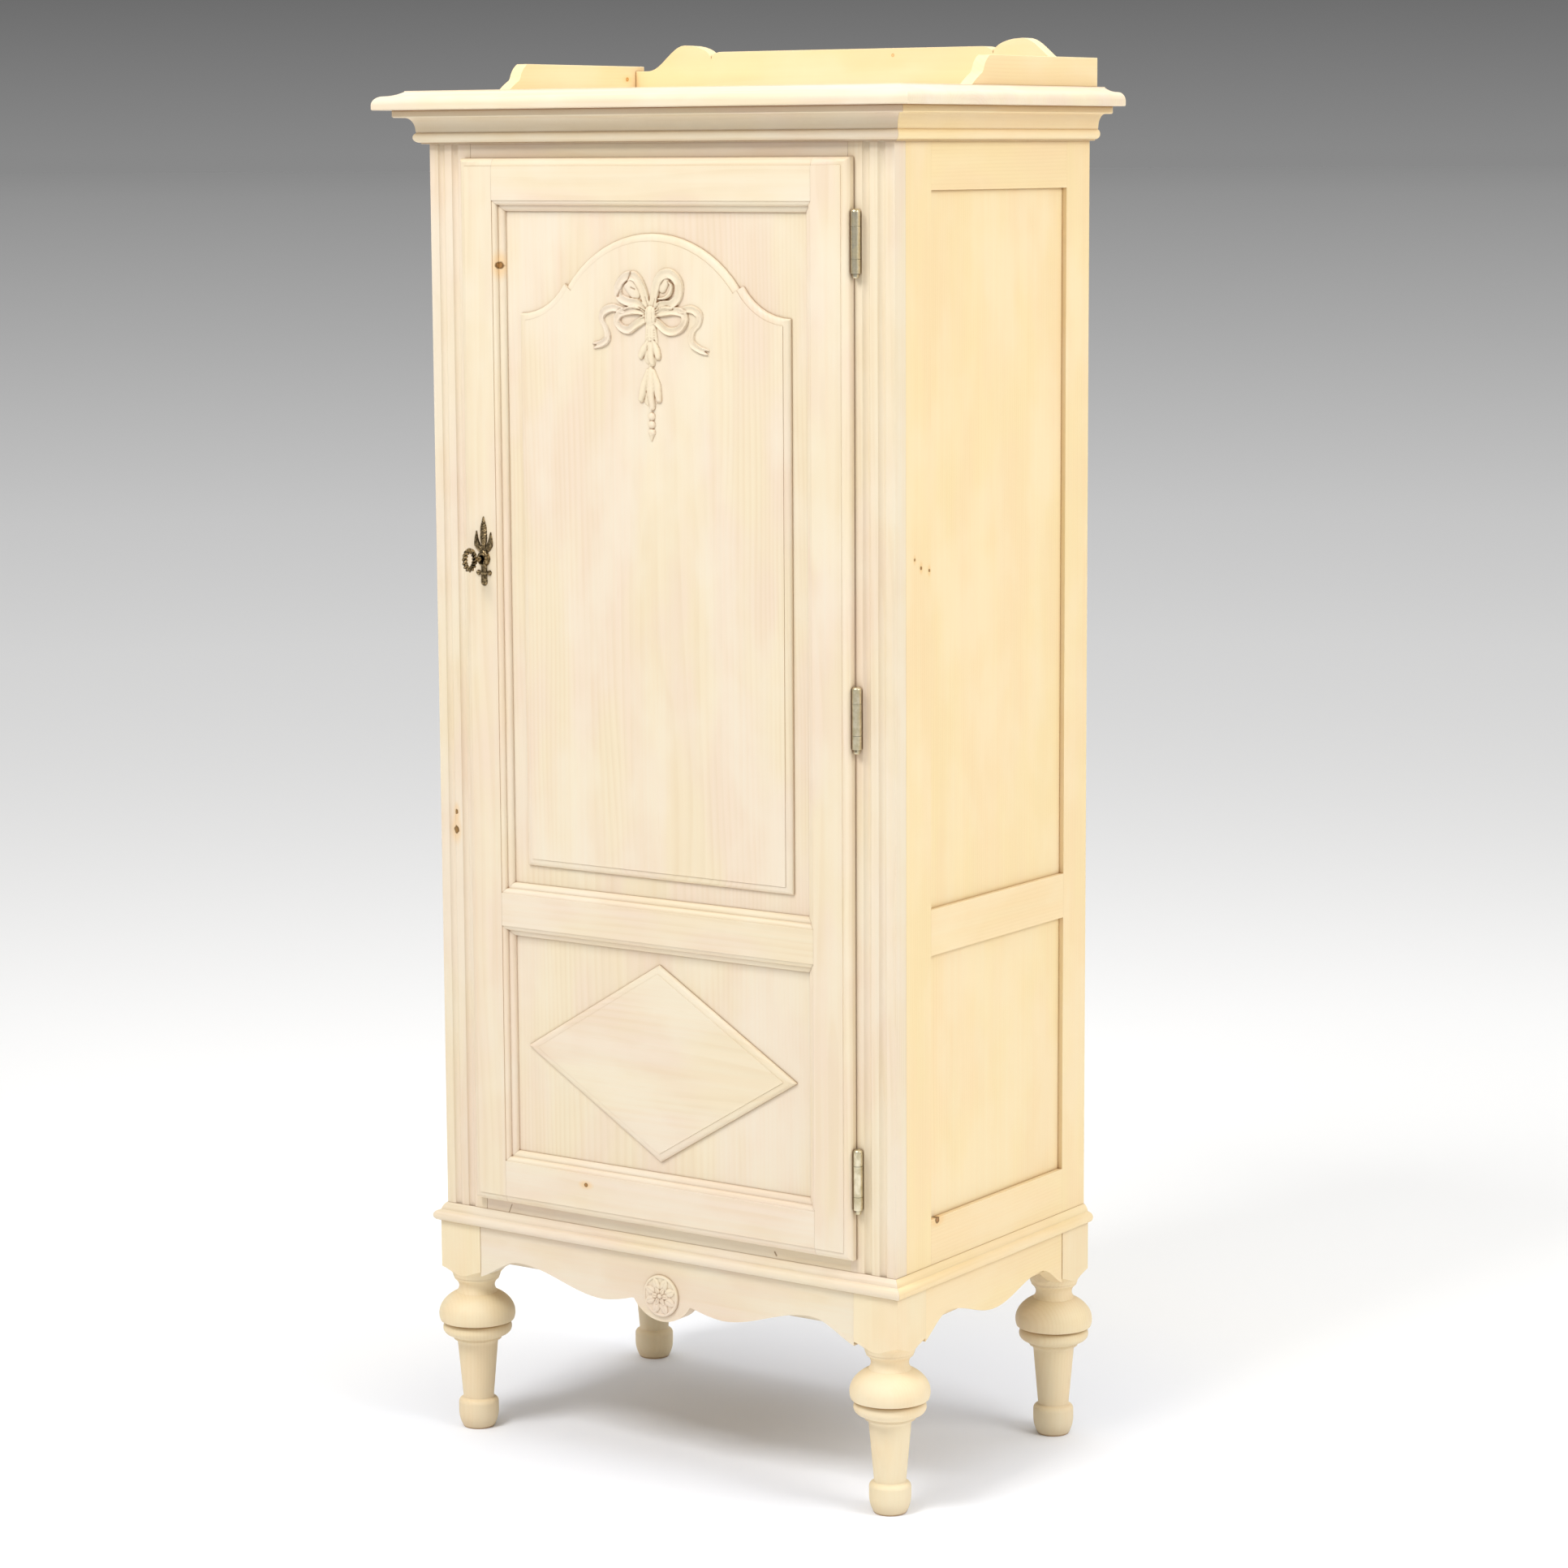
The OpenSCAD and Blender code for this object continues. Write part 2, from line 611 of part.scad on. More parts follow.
// Mouldings: profiles as [overhang, height], fixed to the case with mitred corners
function base_profile() = concat(
  [[0, 0], [base_over - base_nose_r, 0]],
  arc(base_over - base_nose_r, base_nose_r, base_nose_r, base_nose_r, -90, 75, 12),
  bulge([base_over - base_nose_r - 1, base_nose_r * 2 + 0.6], [0.8, base_h], -0.9, 5),
  [[0, base_h]]
);
bead_over = 2 * bead_r + 2;
cove_in = bead_over - 2.6;
cove_top = bed_over - 10;
bead_z = -bed_h + 1.5 + bead_r;
function bed_profile() = concat(
  [[0, -bed_h], [bead_over - bead_r - 1, -bed_h], [bead_over - bead_r - 1, bead_z - bead_r]],
  arc(bead_over - bead_r, bead_z, bead_r, bead_r, -90, 62, 10),
  [[cove_in, bead_z + bead_r + 1]],
  arc(cove_top, bead_z + bead_r + 1, cove_top - cove_in, -bed_fillet - bead_z - bead_r - 1, 180, 90, 8),
  [[bed_over - 1.2, -bed_fillet], [bed_over, -bed_fillet + 1.2], [bed_over, 0], [0, 0]]
);
module miter_front(over) prism_z(z0 - 1, z1 + 1) polygon([
  [-xs - over, yf - over], [xs + over, yf - over], [xs, yf], [-xs, yf]
]);
module miter_side(over) prism_z(z0 - 1, z1 + 1) polygon([
  [xs, yf], [xs + over, yf - over], [xs + over, yb], [xs, yb]
]);
module moulding_front(profile, over, level) intersection() {
  prism_x(-xs - over, xs + over) translate([yf, level]) mirror([1, 0]) polygon(profile);
  miter_front(over);
}
module moulding_side(profile, over, level) intersection() {
  prism_y(yf - over, yb) translate([xs, level]) polygon(profile);
  miter_side(over);
}

module base_front() color(pine) moulding_front(base_profile(), base_over, z0);
module base_side() color(pine_side) moulding_side(base_profile(), base_over, z0);
module bed_front() color(pine) moulding_front(bed_profile(), bed_over, z1);
module bed_side() color(pine_side) moulding_side(bed_profile(), bed_over, z1);

// Face frame
flute_r = (pow(flute_w / 2, 2) + pow(flute_d, 2)) / (2 * flute_d);
module flute(x) translate([x, yf - flute_r + flute_d, z0 - 1]) cylinder(r = flute_r, h = case_h + 2);
tenon_y0 = yf + (face_t - tenon_t) / 2;
face_rails = [[z0, open_z0], [open_z1, z1]];
module face_tenons(sx) for (r = face_rails)
  board(sx > 0 ? open_x : -open_x - tenon_l, sx > 0 ? open_x + tenon_l : -open_x,
    tenon_y0, tenon_y0 + tenon_t, r[0] + tenon_shoulder, r[1] - tenon_shoulder);
module face_stile(sx) difference() {
  board(sx > 0 ? open_x : -xs, sx > 0 ? xs : -open_x, yf, yf + face_t, z0, z1);
  for (i = [0, 1]) flute(sx * (xs - flute_inset - flute_w / 2 - i * (flute_w + flute_gap)));
  face_tenons(sx);
}
module face_stile_left() color(pine) difference() {
  face_stile(-1);
  board(lock_x0 - bolt_throw - 1.5, -open_x + eps, bolt_y0 - bolt_play, bolt_y1 + bolt_play,
    bolt_z0 - bolt_play, bolt_z0 + bolt_h + bolt_play);
}
module face_stile_right() color(pine) difference() {
  face_stile(1);
  for (z = hinge_zs) frame_leaf(z, eps);
}
module face_rail(r) color(pine) {
  board(-open_x, open_x, yf, yf + face_t, r[0], r[1]);
  board(-open_x - tenon_l, open_x + tenon_l, tenon_y0, tenon_y0 + tenon_t,
    r[0] + tenon_shoulder, r[1] - tenon_shoulder);
}

// Side frames, drawn for the right side; the left is its mirror image
side_panel_x1 = xs - side_panel_recess;
side_panel_x0 = side_panel_x1 - side_panel_t;
side_rails = [
  [z0, side_openings[0][0]], [side_openings[0][1], side_openings[1][0]], [side_openings[1][1], z1]
];
shelves = 3;
shelf_gap = (z1 - shelf_floor - shelves * shelf_t) / (shelves + 1);
shelf_zs = [for (i = [1:shelves]) shelf_floor + i * shelf_gap + (i - 1) * shelf_t];
board_zs = concat([shelf_floor - shelf_t], shelf_zs);
module side_cut(y0, y1) {
  for (o = side_openings)
    board(side_panel_x0, side_panel_x1, y0, y1, o[0] - groove_d, o[1] + groove_d);
}
module side_mortises(y0, y1) for (r = side_rails)
  board(side_panel_x0, side_panel_x1, y0, y1, r[0] + tenon_shoulder, r[1] - tenon_shoulder);
module housings(y0, y1) for (z = board_zs)
  board(side_in - eps, side_in + housing_d, y0, y1, z, z + shelf_t);
module side_front_stile() color(pine_side) difference() {
  board(side_in, xs, side_y0, side_y1, z0, z1);
  side_cut(side_y1 - groove_d, side_y1 + eps);
  side_mortises(side_y1 - tenon_l, side_y1 + eps);
  housings(side_y0 - eps, side_y1 + eps);
}
module side_rear_stile() color(pine_side) difference() {
  board(side_in, xs, side_y2, yb, z0, z1);
  side_cut(side_y2 - eps, side_y2 + groove_d);
  side_mortises(side_y2 - eps, side_y2 + tenon_l);
  housings(side_y2 - eps, yb - back_t);
  board(side_in - eps, side_in + back_rebate, yb - back_t, yb + eps, z0 - eps, z1 + eps);
}
module side_rail(i) color(pine_side) difference() {
  union() {
    board(side_in, xs, side_y1, side_y2, side_rails[i][0], side_rails[i][1]);
    board(side_panel_x0, side_panel_x1, side_y1 - tenon_l, side_y2 + tenon_l,
      side_rails[i][0] + tenon_shoulder, side_rails[i][1] - tenon_shoulder);
  }
  side_cut(side_y1 - eps, side_y2 + eps);
}
module side_panel(o) color(pine_side)
  board(side_panel_x0, side_panel_x1, side_y1 - groove_d + panel_play, side_y2 + groove_d - panel_play,
    o[0] - groove_d + panel_play, o[1] + groove_d - panel_play);

// Back, bottom and shelves
module back_panel() color(pine_side)
  board(-side_in - back_rebate, side_in + back_rebate, yb - back_t, yb, z0, z1);
module housed_board(z, y_front) color(pine) {
  board(-side_in, side_in, y_front, yb - back_t, z, z + shelf_t);
  for (y = [[y_front, side_y1], [side_y2, yb - back_t]])
    board(-side_in - housing_d, side_in + housing_d, y[0], y[1], z, z + shelf_t);
}
module shelf(i) housed_board(shelf_zs[i], side_y0 + shelf_setback);

// Cornice board: two crossing profiles give the mitred corners of its moulded edge
nose_r = 10.5;
nose_z = 5.5;
cove_run = top_slope - nose_r;
cove_rise = top_t - nose_z - nose_r - 1;
cove_rise_r = (pow(cove_run, 2) + pow(cove_rise, 2)) / (2 * cove_rise);
function top_edge() = concat(
  [[top_over - 1, 0], [top_over, 1]],
  arc(top_over - nose_r, nose_z, nose_r, nose_r, 0, 90, 8),
  arc(top_over - nose_r, nose_z + nose_r + cove_rise_r, cove_rise_r, cove_rise_r,
    -90, -90 - asin(cove_run / cove_rise_r), 5),
  [[top_over - top_slope, top_t]]
);
module top_board() color(pine) intersection() {
  edge_x = [for (p = top_edge()) [p[0] + xs, p[1] + z1]];
  prism_y(yf - top_over, yb) polygon(both(edge_x));
  prism_x(-xs - top_over, xs + top_over) polygon(concat(
    [[yb, z_top], [yb, z1]], [for (p = top_edge()) [yf - p[0], p[1] + z1]]));
}

// Gallery
return_x1 = xs + return_out;
return_x0 = return_x1 - return_t;
module gallery_return() color(pine_side) prism_x(return_x0, return_x1)
  translate([yb - return_l, z_top]) polygon(concat(
    [[0, 0]],
    bulge([0, 0], [return_nose * 0.58, return_h * 0.42], 0.8, 4),
    bulge([return_nose * 0.63, return_h * 0.5], [return_nose, return_h], 2.2, 5),
    [[return_l, return_h], [return_l, 0]]
  ));
hump_at = return_x0 - hump_x;
valley_at = hump_at - valley_x;
valley_run = 15.5;
function gallery_half() = concat(
  [[return_x0, 0], [return_x0, gallery_end_h]],
  wave(return_x0 - gallery_flat, gallery_end_h, hump_at, gallery_hump_h, 12),
  arc(hump_at, gallery_valley_h, valley_x, gallery_hump_h - gallery_valley_h, 108, 180, 6),
  arc(valley_at - valley_run, gallery_valley_h, valley_run, gallery_rail_h - gallery_valley_h, 20, 90, 5)
);
module gallery_back() color(pine) prism_y(yb - gallery_t, yb) translate([0, z_top]) {
  half = gallery_half();
  polygon(both(half));
}

// Door: crossing profiles give the mitred outer edge and the mitred mouldings round the panels
function edge_curve(a) = arc(a - edge_w, door_yf + edge_d, edge_w, edge_d - quirk, 0, -90, 8);
function half_section(a, inset) = concat(
  [[inset, door_yb], [inset, lip_yb], [a, lip_yb]], edge_curve(a), [[a - edge_w, door_yf]]);
function swap(p) = [for (q = p) [q[1], q[0]]];
door_zc = (door_z0 + door_z1) / 2;
door_zh = (door_z1 - door_z0) / 2;
module door_envelope() intersection() {
  s = half_section(door_x, inset_x);
  prism_z(door_z0, door_z1) polygon(both(s));
  t = half_section(door_zh, door_zh - lip_w);
  prism_x(-door_x, door_x) translate([0, door_zc]) polygon(swap(both(t)));
}
// The moulding round a panel: two ovolos, each below a small square step, from the door's face to the panel
step_w = 5.2;
step_d = 5.6;
function ovolo(x0, y0, x1, y1, n) = arc(x0, y1, x0 - x1, y1 - y0, 270, 180, n);
function stick_half(a) = concat(
  [[a, door_yf - 1]],
  ovolo(a, door_yf + quirk, a - step_w, door_yf + step_d, 5),
  ovolo(a - step_w, door_yf + step_d + quirk, a - stick_w, panel_yf, 6),
  [[a - stick_w, door_yb + 1]]
);
module stile_cutter() {
  prism_z(door_z0 - 1, door_z1 + 1) polygon(both(stick_half(face_x)));
  board(-panel_x - groove_d, panel_x + groove_d, panel_yf, panel_yb, door_z0 - 1, door_z1 + 1);
}
module rail_cutter(o) {
  prism_x(-door_x, door_x) translate([0, (o[0] + o[1]) / 2])
    polygon(swap(both(stick_half((o[1] - o[0]) / 2))));
  board(-door_x, door_x, panel_yf, panel_yb, o[0] + stick_w - groove_d, o[1] - stick_w + groove_d);
}
door_rails = [[door_z0, openings[0][0]], [mid_z0, mid_z1], [openings[1][1], door_z1]];
// A rail's tenons, as one tongue that runs through the rail
module door_tenons(r) board(-face_x - tenon_l, face_x + tenon_l, panel_yf, panel_yb,
  r[0] + tenon_shoulder, r[1] - tenon_shoulder);
// Faces of the stiles and rails as seen from the front, with mitred mouldings
module stile_face() prism_y(door_yf - 1, door_yb + 1) polygon(concat(
  [[face_x, door_z0 - 1]],
  [for (o = openings) each [
    [face_x, o[0]], [panel_x, o[0] + stick_w], [panel_x, o[1] - stick_w], [face_x, o[1]]
  ]],
  [[face_x, door_z1 + 1], [door_x + 1, door_z1 + 1], [door_x + 1, door_z0 - 1]]
));
module rail_face(r) {
  low = r[0] > door_z0 ? [[-panel_x, r[0] - stick_w], [panel_x, r[0] - stick_w]] : [];
  high = r[1] < door_z1 ? [[panel_x, r[1] + stick_w], [-panel_x, r[1] + stick_w]] : [];
  prism_y(door_yf - 1, door_yb + 1)
    polygon(concat([[-face_x, r[0]]], low, [[face_x, r[0]], [face_x, r[1]]], high, [[-face_x, r[1]]]));
}
module door_stile(sx) difference() {
  intersection() {
    door_envelope();
    mirror_to(sx) stile_face();
  }
  stile_cutter();
  for (r = door_rails) door_tenons(r);
}
module door_rail(i) color(pine) {
  difference() {
    intersection() {
      door_envelope();
      rail_face(door_rails[i]);
    }
    for (o = openings) rail_cutter(o);
  }
  door_tenons(door_rails[i]);
}
hub_bore = follower_r + 0.6;
module door_lock_stile() color(pine) difference() {
  door_stile(-1);
  keyhole(door_yf - 1, door_yb + 1);
  translate([key_x, 0, key_zc]) rod_y(hub_bore, follower_y0 - 0.5, door_yb + 1);
}
module door_hinge_stile() color(pine) difference() {
  door_stile(1);
  for (z = hinge_zs) door_leaf(z, eps);
}
module door_panel(o) color(pine) board(-panel_x - groove_d + panel_play, panel_x + groove_d - panel_play,
  panel_yf, panel_yb, o[0] + stick_w - groove_d + panel_play, o[1] - stick_w + groove_d - panel_play);

// Arched field: the outline drawn in by a distance d, its arcs keeping their centres and angles
function angle_of(v) = atan2(v[1], v[0]);
function field_outline(d) =
  let (x = field_x - d, r2 = shoulder_r + d, side = angle_of([-d, -sqrt(r2 * r2 - d * d)]),
    ear = angle_of(ear_end - shoulder_c), a = angle_of(arch_end - arch_c),
    right = concat([[x, field_z0 + d]], arc(shoulder_c[0], shoulder_c[1], r2, r2, side, ear, 7),
      arc(0, arch_c[1], arch_r - d, arch_r - d, a, 90, 10)))
  concat(right, [for (i = [len(right) - 2:-1:0]) [-right[i][0], right[i][1]]]);
function lozenge_outline(d) =
  let (s = 1 - d * norm([lozenge_a, lozenge_b]) / (lozenge_a * lozenge_b),
    a = lozenge_a * s, b = lozenge_b * s)
  [[a, lozenge_z], [0, lozenge_z + b], [-a, lozenge_z], [0, lozenge_z - b]];
// Inset and height of each line of the moulded edge: a fillet, an ovolo and a step up to the flat
field_fillet = 1.6;
field_step = 0.8;
field_ovolo = field_t - field_fillet - field_step;
edge_lines = concat([[0, 0]],
  [for (a = [0:18:90]) [field_edge_w * (1 - cos(a)), field_fillet + field_ovolo * sin(a)]],
  [[field_edge_w, field_t]]);
module arched_field() color(pine) translate([0, panel_yf, 0])
  lofted([for (e = edge_lines) [field_outline(e[0]), e[1]]]);
module lozenge() color(pine) translate([0, panel_yf, 0])
  lofted([for (e = edge_lines) [lozenge_outline(e[0]), e[1]]]);

// Carved bow: ribbons, knot and a chain of husks, drawn from the middle of the knot
function ribbon(p, w) =
  let (n = len(p),
    off = [for (i = [0:n - 1]) let (d = p[min(i + 1, n - 1)] - p[max(i - 1, 0)])
      [-d[1], d[0]] * w[i] / (2 * norm(d))])
  concat([for (i = [0:n - 1]) p[i] + off[i]], [for (i = [n - 1:-1:0]) p[i] - off[i]]);
// A smooth line through chosen points, with n steps from each to the next
function smooth(p, n = 4) =
  let (m = len(p), q = concat([2 * p[0] - p[1]], p, [2 * p[m - 1] - p[m - 2]]))
  concat([for (i = [1:m - 1]) for (k = [0:n - 1])
    let (t = k / n, a = q[i - 1], b = q[i], c = q[i + 1], d = q[i + 2])
      b + ((c - a) * t + (2 * a - 5 * b + 4 * c - d) * t * t + (3 * b - a - 3 * c + d) * t * t * t) / 2],
    [p[m - 1]]);
// Each ribbon: its middle line, and its width at both ends
// A loop is two ribbons, which overlap at its far end
bow_ribbons = [
  [[[-3, 5], [-16, 13], [-30, 15], [-42, 20], [-44, 31], [-35, 42]], 10, 11],
  [[[-42, 20], [-44, 31], [-35, 42], [-21, 43], [-11, 31], [-3, 8]], 11, 11],
  [[[3, 5], [16, 12], [29, 13], [39, 22], [40, 36], [30, 46]], 11, 12],
  [[[39, 22], [40, 36], [30, 46], [17, 45], [9, 33], [3, 8]], 12, 12],
  [[[-3, 2], [-16, 6], [-32, 5], [-43, 1], [-46, -7], [-40, -14]], 10, 10],
  [[[-43, 1], [-46, -7], [-40, -14], [-30, -16], [-18, -9], [-4, -2]], 10, 10],
  [[[3, 2], [16, 4], [32, 6], [45, 3], [48, -5], [42, -13]], 10, 10],
  [[[45, 3], [48, -5], [42, -13], [32, -17], [22, -16], [12, -9], [3, -3]], 10, 10],
  [[[-38, 5], [-52, 8], [-64, 4], [-68, -5], [-62, -16], [-60, -26], [-68, -32], [-81, -35]], 9, 8],
  [[[42, 6], [56, 8], [67, 2], [66, -8], [58, -17], [57, -29], [67, -36], [80, -40]], 9, 8],
  [[[0, -5], [1, -26], [0, -48]], 14, 16],
  [[[0, -48], [0, -80], [0, -112]], 4, 4]
];
bow_drawn = max([for (r = bow_ribbons) for (p = r[0]) abs(p[0])]);
module petal(x, z, len, w, turn) translate([x, z]) rotate(turn)
  polygon(concat(bulge([0, 0], [0, -len], w, 6), without_first(bulge([0, -len], [0, 0], w, 6))));
module husk(z, len, w) translate([0, z]) {
  petal(0, 0, len, w, 0);
  for (s = [-1, 1]) petal(s * 1.5, 0, len * 0.84, w * 0.66, s * 17);
}
function even(a, b, n) = [for (i = [0:n - 1]) a + (b - a) * i / (n - 1)];
knot_r = [7.5, 8.5];
module carved_bow() color(pine) translate([0, 0, field_z1 - bow_drop]) {
  prism_y(field_yf - bow_t * 0.75, field_yf) scale(bow_half / bow_drawn) {
    for (r = bow_ribbons) {
      line = smooth(r[0]);
      polygon(ribbon(line, even(r[1], r[2], len(line))));
    }
    petal(0, -108, 30, 4.6, 0);
  }
  prism_y(field_yf - bow_t, field_yf) scale(bow_half / bow_drawn) {
    polygon(arc(0, 0, knot_r[0], knot_r[1], 0, 345, 23));
    husk(-34, 24, 5.6);
    husk(-60, 48, 6.4);
  }
}

// Hinges: both leaves lie flush in the wood, and a recess cut for one reaches past the surface
module frame_leaf(z, past = 0) {
  board(open_x - past, hinge_x + neck_half, yf - past, yf + leaf_t, z - leaf_h / 2, z + leaf_h / 2);
  board(open_x - past, open_x + leaf_t, yf - past, yf + frame_leaf_d, z - leaf_h / 2, z + leaf_h / 2);
}
module door_leaf(z, past = 0) {
  board(inset_x - leaf_t, door_x + past, lip_yb - leaf_t, lip_yb + past, z - leaf_h / 2, z + leaf_h / 2);
  board(inset_x - leaf_t, inset_x + past, lip_yb - leaf_t, door_yb + past, z - leaf_h / 2, z + leaf_h / 2);
  board(inset_x - door_leaf_w, inset_x + past, door_yb - leaf_t, door_yb + past,
    z - leaf_h / 2, z + leaf_h / 2);
}
module knuckle(za, zb) translate([hinge_x, hinge_y, za]) cylinder(r = barrel_r, h = zb - za);
module pin_bore(z) translate([hinge_x, hinge_y, z - leaf_h]) cylinder(r = pin_bore_r, h = 2 * leaf_h);
outer_knuckle = mid_knuckle / 2 + knuckle_gap;
module hinge_frame_leaves() color(nickel) for (z = hinge_zs) difference() {
  union() {
    frame_leaf(z);
    for (e = [[z - leaf_h / 2, z - outer_knuckle], [z + outer_knuckle, z + leaf_h / 2]]) {
      knuckle(e[0], e[1]);
      board(hinge_x - neck_half, hinge_x + neck_half, hinge_y + pin_r + 1, yf + leaf_t, e[0], e[1]);
    }
  }
  pin_bore(z);
}
module hinge_door_leaves() color(nickel) for (z = hinge_zs) difference() {
  union() {
    door_leaf(z);
    knuckle(z - mid_knuckle / 2, z + mid_knuckle / 2);
    board(inset_x, hinge_x, lip_yb - leaf_t, lip_yb, z - mid_knuckle / 2, z + mid_knuckle / 2);
  }
  pin_bore(z);
}
pin_dome = 3.2;
tip_r = 3.4;
tip_l = 5;
module hinge_pins() color(nickel) for (z = hinge_zs) translate([hinge_x, hinge_y, z]) rotate_extrude()
  polygon(concat(
    [[0, -leaf_h / 2 - tip_l]],
    arc(tip_r - 1.5, -leaf_h / 2 - tip_l + 1.5, 1.5, 1.5, -90, 0, 4),
    [[tip_r, -leaf_h / 2], [pin_r, -leaf_h / 2], [pin_r, leaf_h / 2], [barrel_r, leaf_h / 2]],
    arc(0, leaf_h / 2 + 0.6, barrel_r, pin_dome, 0, 90, 6)
  ));

// Key plate, lock and key
bit_play = 0.25;
hole_play = 0.3;
module keyhole(y0, y1) translate([key_x, 0, key_zc]) {
  rod_y(shank_r + hole_play, y0, y1);
  board(-bit_t / 2 - bit_play, bit_t / 2 + bit_play, y0, y1, -bit_reach - hole_play, 0);
}
boss_r = 7.5;
plate_r = 9.2;
plate_top = 49;
plate_low = 31.5;
bud_l = 24;
bud_half = 4.5;
leaf_tip = [10, 31];
tab_r = 4.5;
cross_z = -16.5;
cross_half = 8;
module key_plate() color(bronze) difference() {
  union() {
    prism_y(plate_yf, door_yf) translate([key_x, key_zc]) {
      circle(r = plate_r);
      for (s = [0, 1]) mirror([s, 0]) {
        polygon(concat([[0, plate_top - bud_l]],
          bulge([bud_half, plate_top - bud_l], [0, plate_top], -3.2, 8)));
        polygon(concat(bulge([0, 4], leaf_tip, -4.2, 8), bulge(leaf_tip, [0, 19], -1.5, 5)));
        translate([cross_half, cross_z]) circle(r = 2.8);
      }
      polygon(concat(arc(0, tab_r - plate_low, tab_r, tab_r, 180, 360, 8), [[3.2, -5], [-3.2, -5]]));
      translate([-cross_half, cross_z - 2]) square([2 * cross_half, 4]);
    }
    translate([key_x, 0, key_zc]) rod_y(boss_r, boss_yf, plate_yf);
  }
  keyhole(boss_yf - 1, door_yf + 1);
}
module lock_case() color(steel) difference() {
  board(lock_x0, lock_x1, door_yb, lock_y1, key_zc - lock_h / 2, key_zc + lock_h / 2);
  board(lock_x0 + lock_wall, lock_x1 - lock_wall, door_yb + lock_wall, lock_y1 - lock_wall,
    key_zc - lock_h / 2 + lock_wall, key_zc + lock_h / 2 - lock_wall);
  translate([key_x, 0, key_zc]) rod_y(follower_r + follower_play, door_yb - 1, door_yb + lock_wall + 1);
  board(lock_x0 - 1, lock_x0 + lock_wall + 1, bolt_y0 - bolt_play, bolt_y1 + bolt_play,
    bolt_z0 - bolt_play, bolt_z0 + bolt_h + bolt_play);
}
slot_play = 0.35;
slot_x = key_x + bolt_throw / 2;
module lock_bolt() color(steel) difference() {
  board(lock_x0 + 0.2, slot_x + 6, bolt_y0, bolt_y1, bolt_z0, bolt_z0 + bolt_h);
  board(slot_x - crank_pin_r - slot_play, slot_x + crank_pin_r + slot_play, bolt_y0 - 1, bolt_y1 + 1,
    key_zc + bolt_throw / 2 - crank_pin_r - slot_play, key_zc + crank_r + crank_pin_r + slot_play);
}
module lock_follower() color(steel) difference() {
  translate([key_x, 0, key_zc]) {
    rod_y(follower_r, follower_y0, crank_y1);
    prism_y(crank_y0, crank_y1) rotate(-45) translate([-crank_pin_r - 1, 0])
      square([2 * crank_pin_r + 2, crank_r + crank_pin_r + 1]);
    translate([bolt_throw / 2, 0, bolt_throw / 2]) rod_y(crank_pin_r, crank_y0, bolt_y1);
  }
  keyhole_slot();
}
module keyhole_slot() translate([key_x, 0, key_zc]) {
  rod_y(shank_r + follower_play, follower_y0 - 1, crank_y0);
  board(-bit_t / 2 - bit_play, bit_t / 2 + bit_play, follower_y0 - 1, crank_y0, -bit_reach - hole_play, 0);
}
module bow_arc(s) translate([0, 0, s * bow_flat / 2]) rotate([0, 90, 0]) rotate([0, 0, s > 0 ? 90 : -90])
  rotate_extrude(angle = 180) translate([bow_line_r, 0]) circle(r = bow_wire_r, $fn = 24);
module key() color(bronze) translate([key_x, 0, key_zc]) {
  rod_y(shank_r, bow_yc + bow_line_r, key_end_y);
  rod_y(shank_r + 1.4, boss_yf - key_neck + 2, boss_yf - 1.2);
  board(-bit_t / 2, bit_t / 2, key_end_y - bit_l, key_end_y, -bit_reach, 0);
  translate([0, bow_yc, 0]) {
    for (s = [-1, 1]) {
      bow_arc(s);
      translate([0, s * bow_line_r, -bow_flat / 2]) cylinder(r = bow_wire_r, h = bow_flat, $fn = 24);
    }
  }
}

leg(-1, -1);  // leg_front_left
leg(1, -1);  // leg_front_right
leg(-1, 1);  // leg_rear_left
leg(1, 1);  // leg_rear_right
front_apron();
color(pine_side) mirror([1, 0, 0]) side_apron();  // left_apron
color(pine_side) side_apron();  // right_apron
rear_base_rail();
apron_rosette();
base_front();  // base_moulding_front
mirror([1, 0, 0]) base_side();  // base_moulding_left
base_side();  // base_moulding_right
face_stile_left();
face_stile_right();
face_rail(face_rails[1]);  // face_top_rail
face_rail(face_rails[0]);  // face_bottom_rail
mirror([1, 0, 0]) side_front_stile();  // left_front_stile
mirror([1, 0, 0]) side_rear_stile();  // left_rear_stile
mirror([1, 0, 0]) side_rail(2);  // left_top_rail
mirror([1, 0, 0]) side_rail(1);  // left_middle_rail
mirror([1, 0, 0]) side_rail(0);  // left_bottom_rail
mirror([1, 0, 0]) side_panel(side_openings[1]);  // left_upper_panel
mirror([1, 0, 0]) side_panel(side_openings[0]);  // left_lower_panel
side_front_stile();  // right_front_stile
side_rear_stile();  // right_rear_stile
side_rail(2);  // right_top_rail
side_rail(1);  // right_middle_rail
side_rail(0);  // right_bottom_rail
side_panel(side_openings[1]);  // right_upper_panel
side_panel(side_openings[0]);  // right_lower_panel
back_panel();
housed_board(shelf_floor - shelf_t, side_y0);  // bottom_board
shelf(0);  // shelf_lower
shelf(1);  // shelf_middle
shelf(2);  // shelf_upper
top_board();
bed_front();  // bed_moulding_front
mirror([1, 0, 0]) bed_side();  // bed_moulding_left
bed_side();  // bed_moulding_right
gallery_back();
mirror([1, 0, 0]) gallery_return();  // gallery_left
gallery_return();  // gallery_right
hinge_frame_leaves();
hinge_pins();
door_lock_stile();
door_hinge_stile();
door_rail(2);  // door_top_rail
door_rail(1);  // door_middle_rail
door_rail(0);  // door_bottom_rail
door_panel(openings[1]);  // door_upper_panel
door_panel(openings[0]);  // door_lower_panel
arched_field();
lozenge();
carved_bow();
hinge_door_leaves();
key_plate();
lock_case();
lock_bolt();
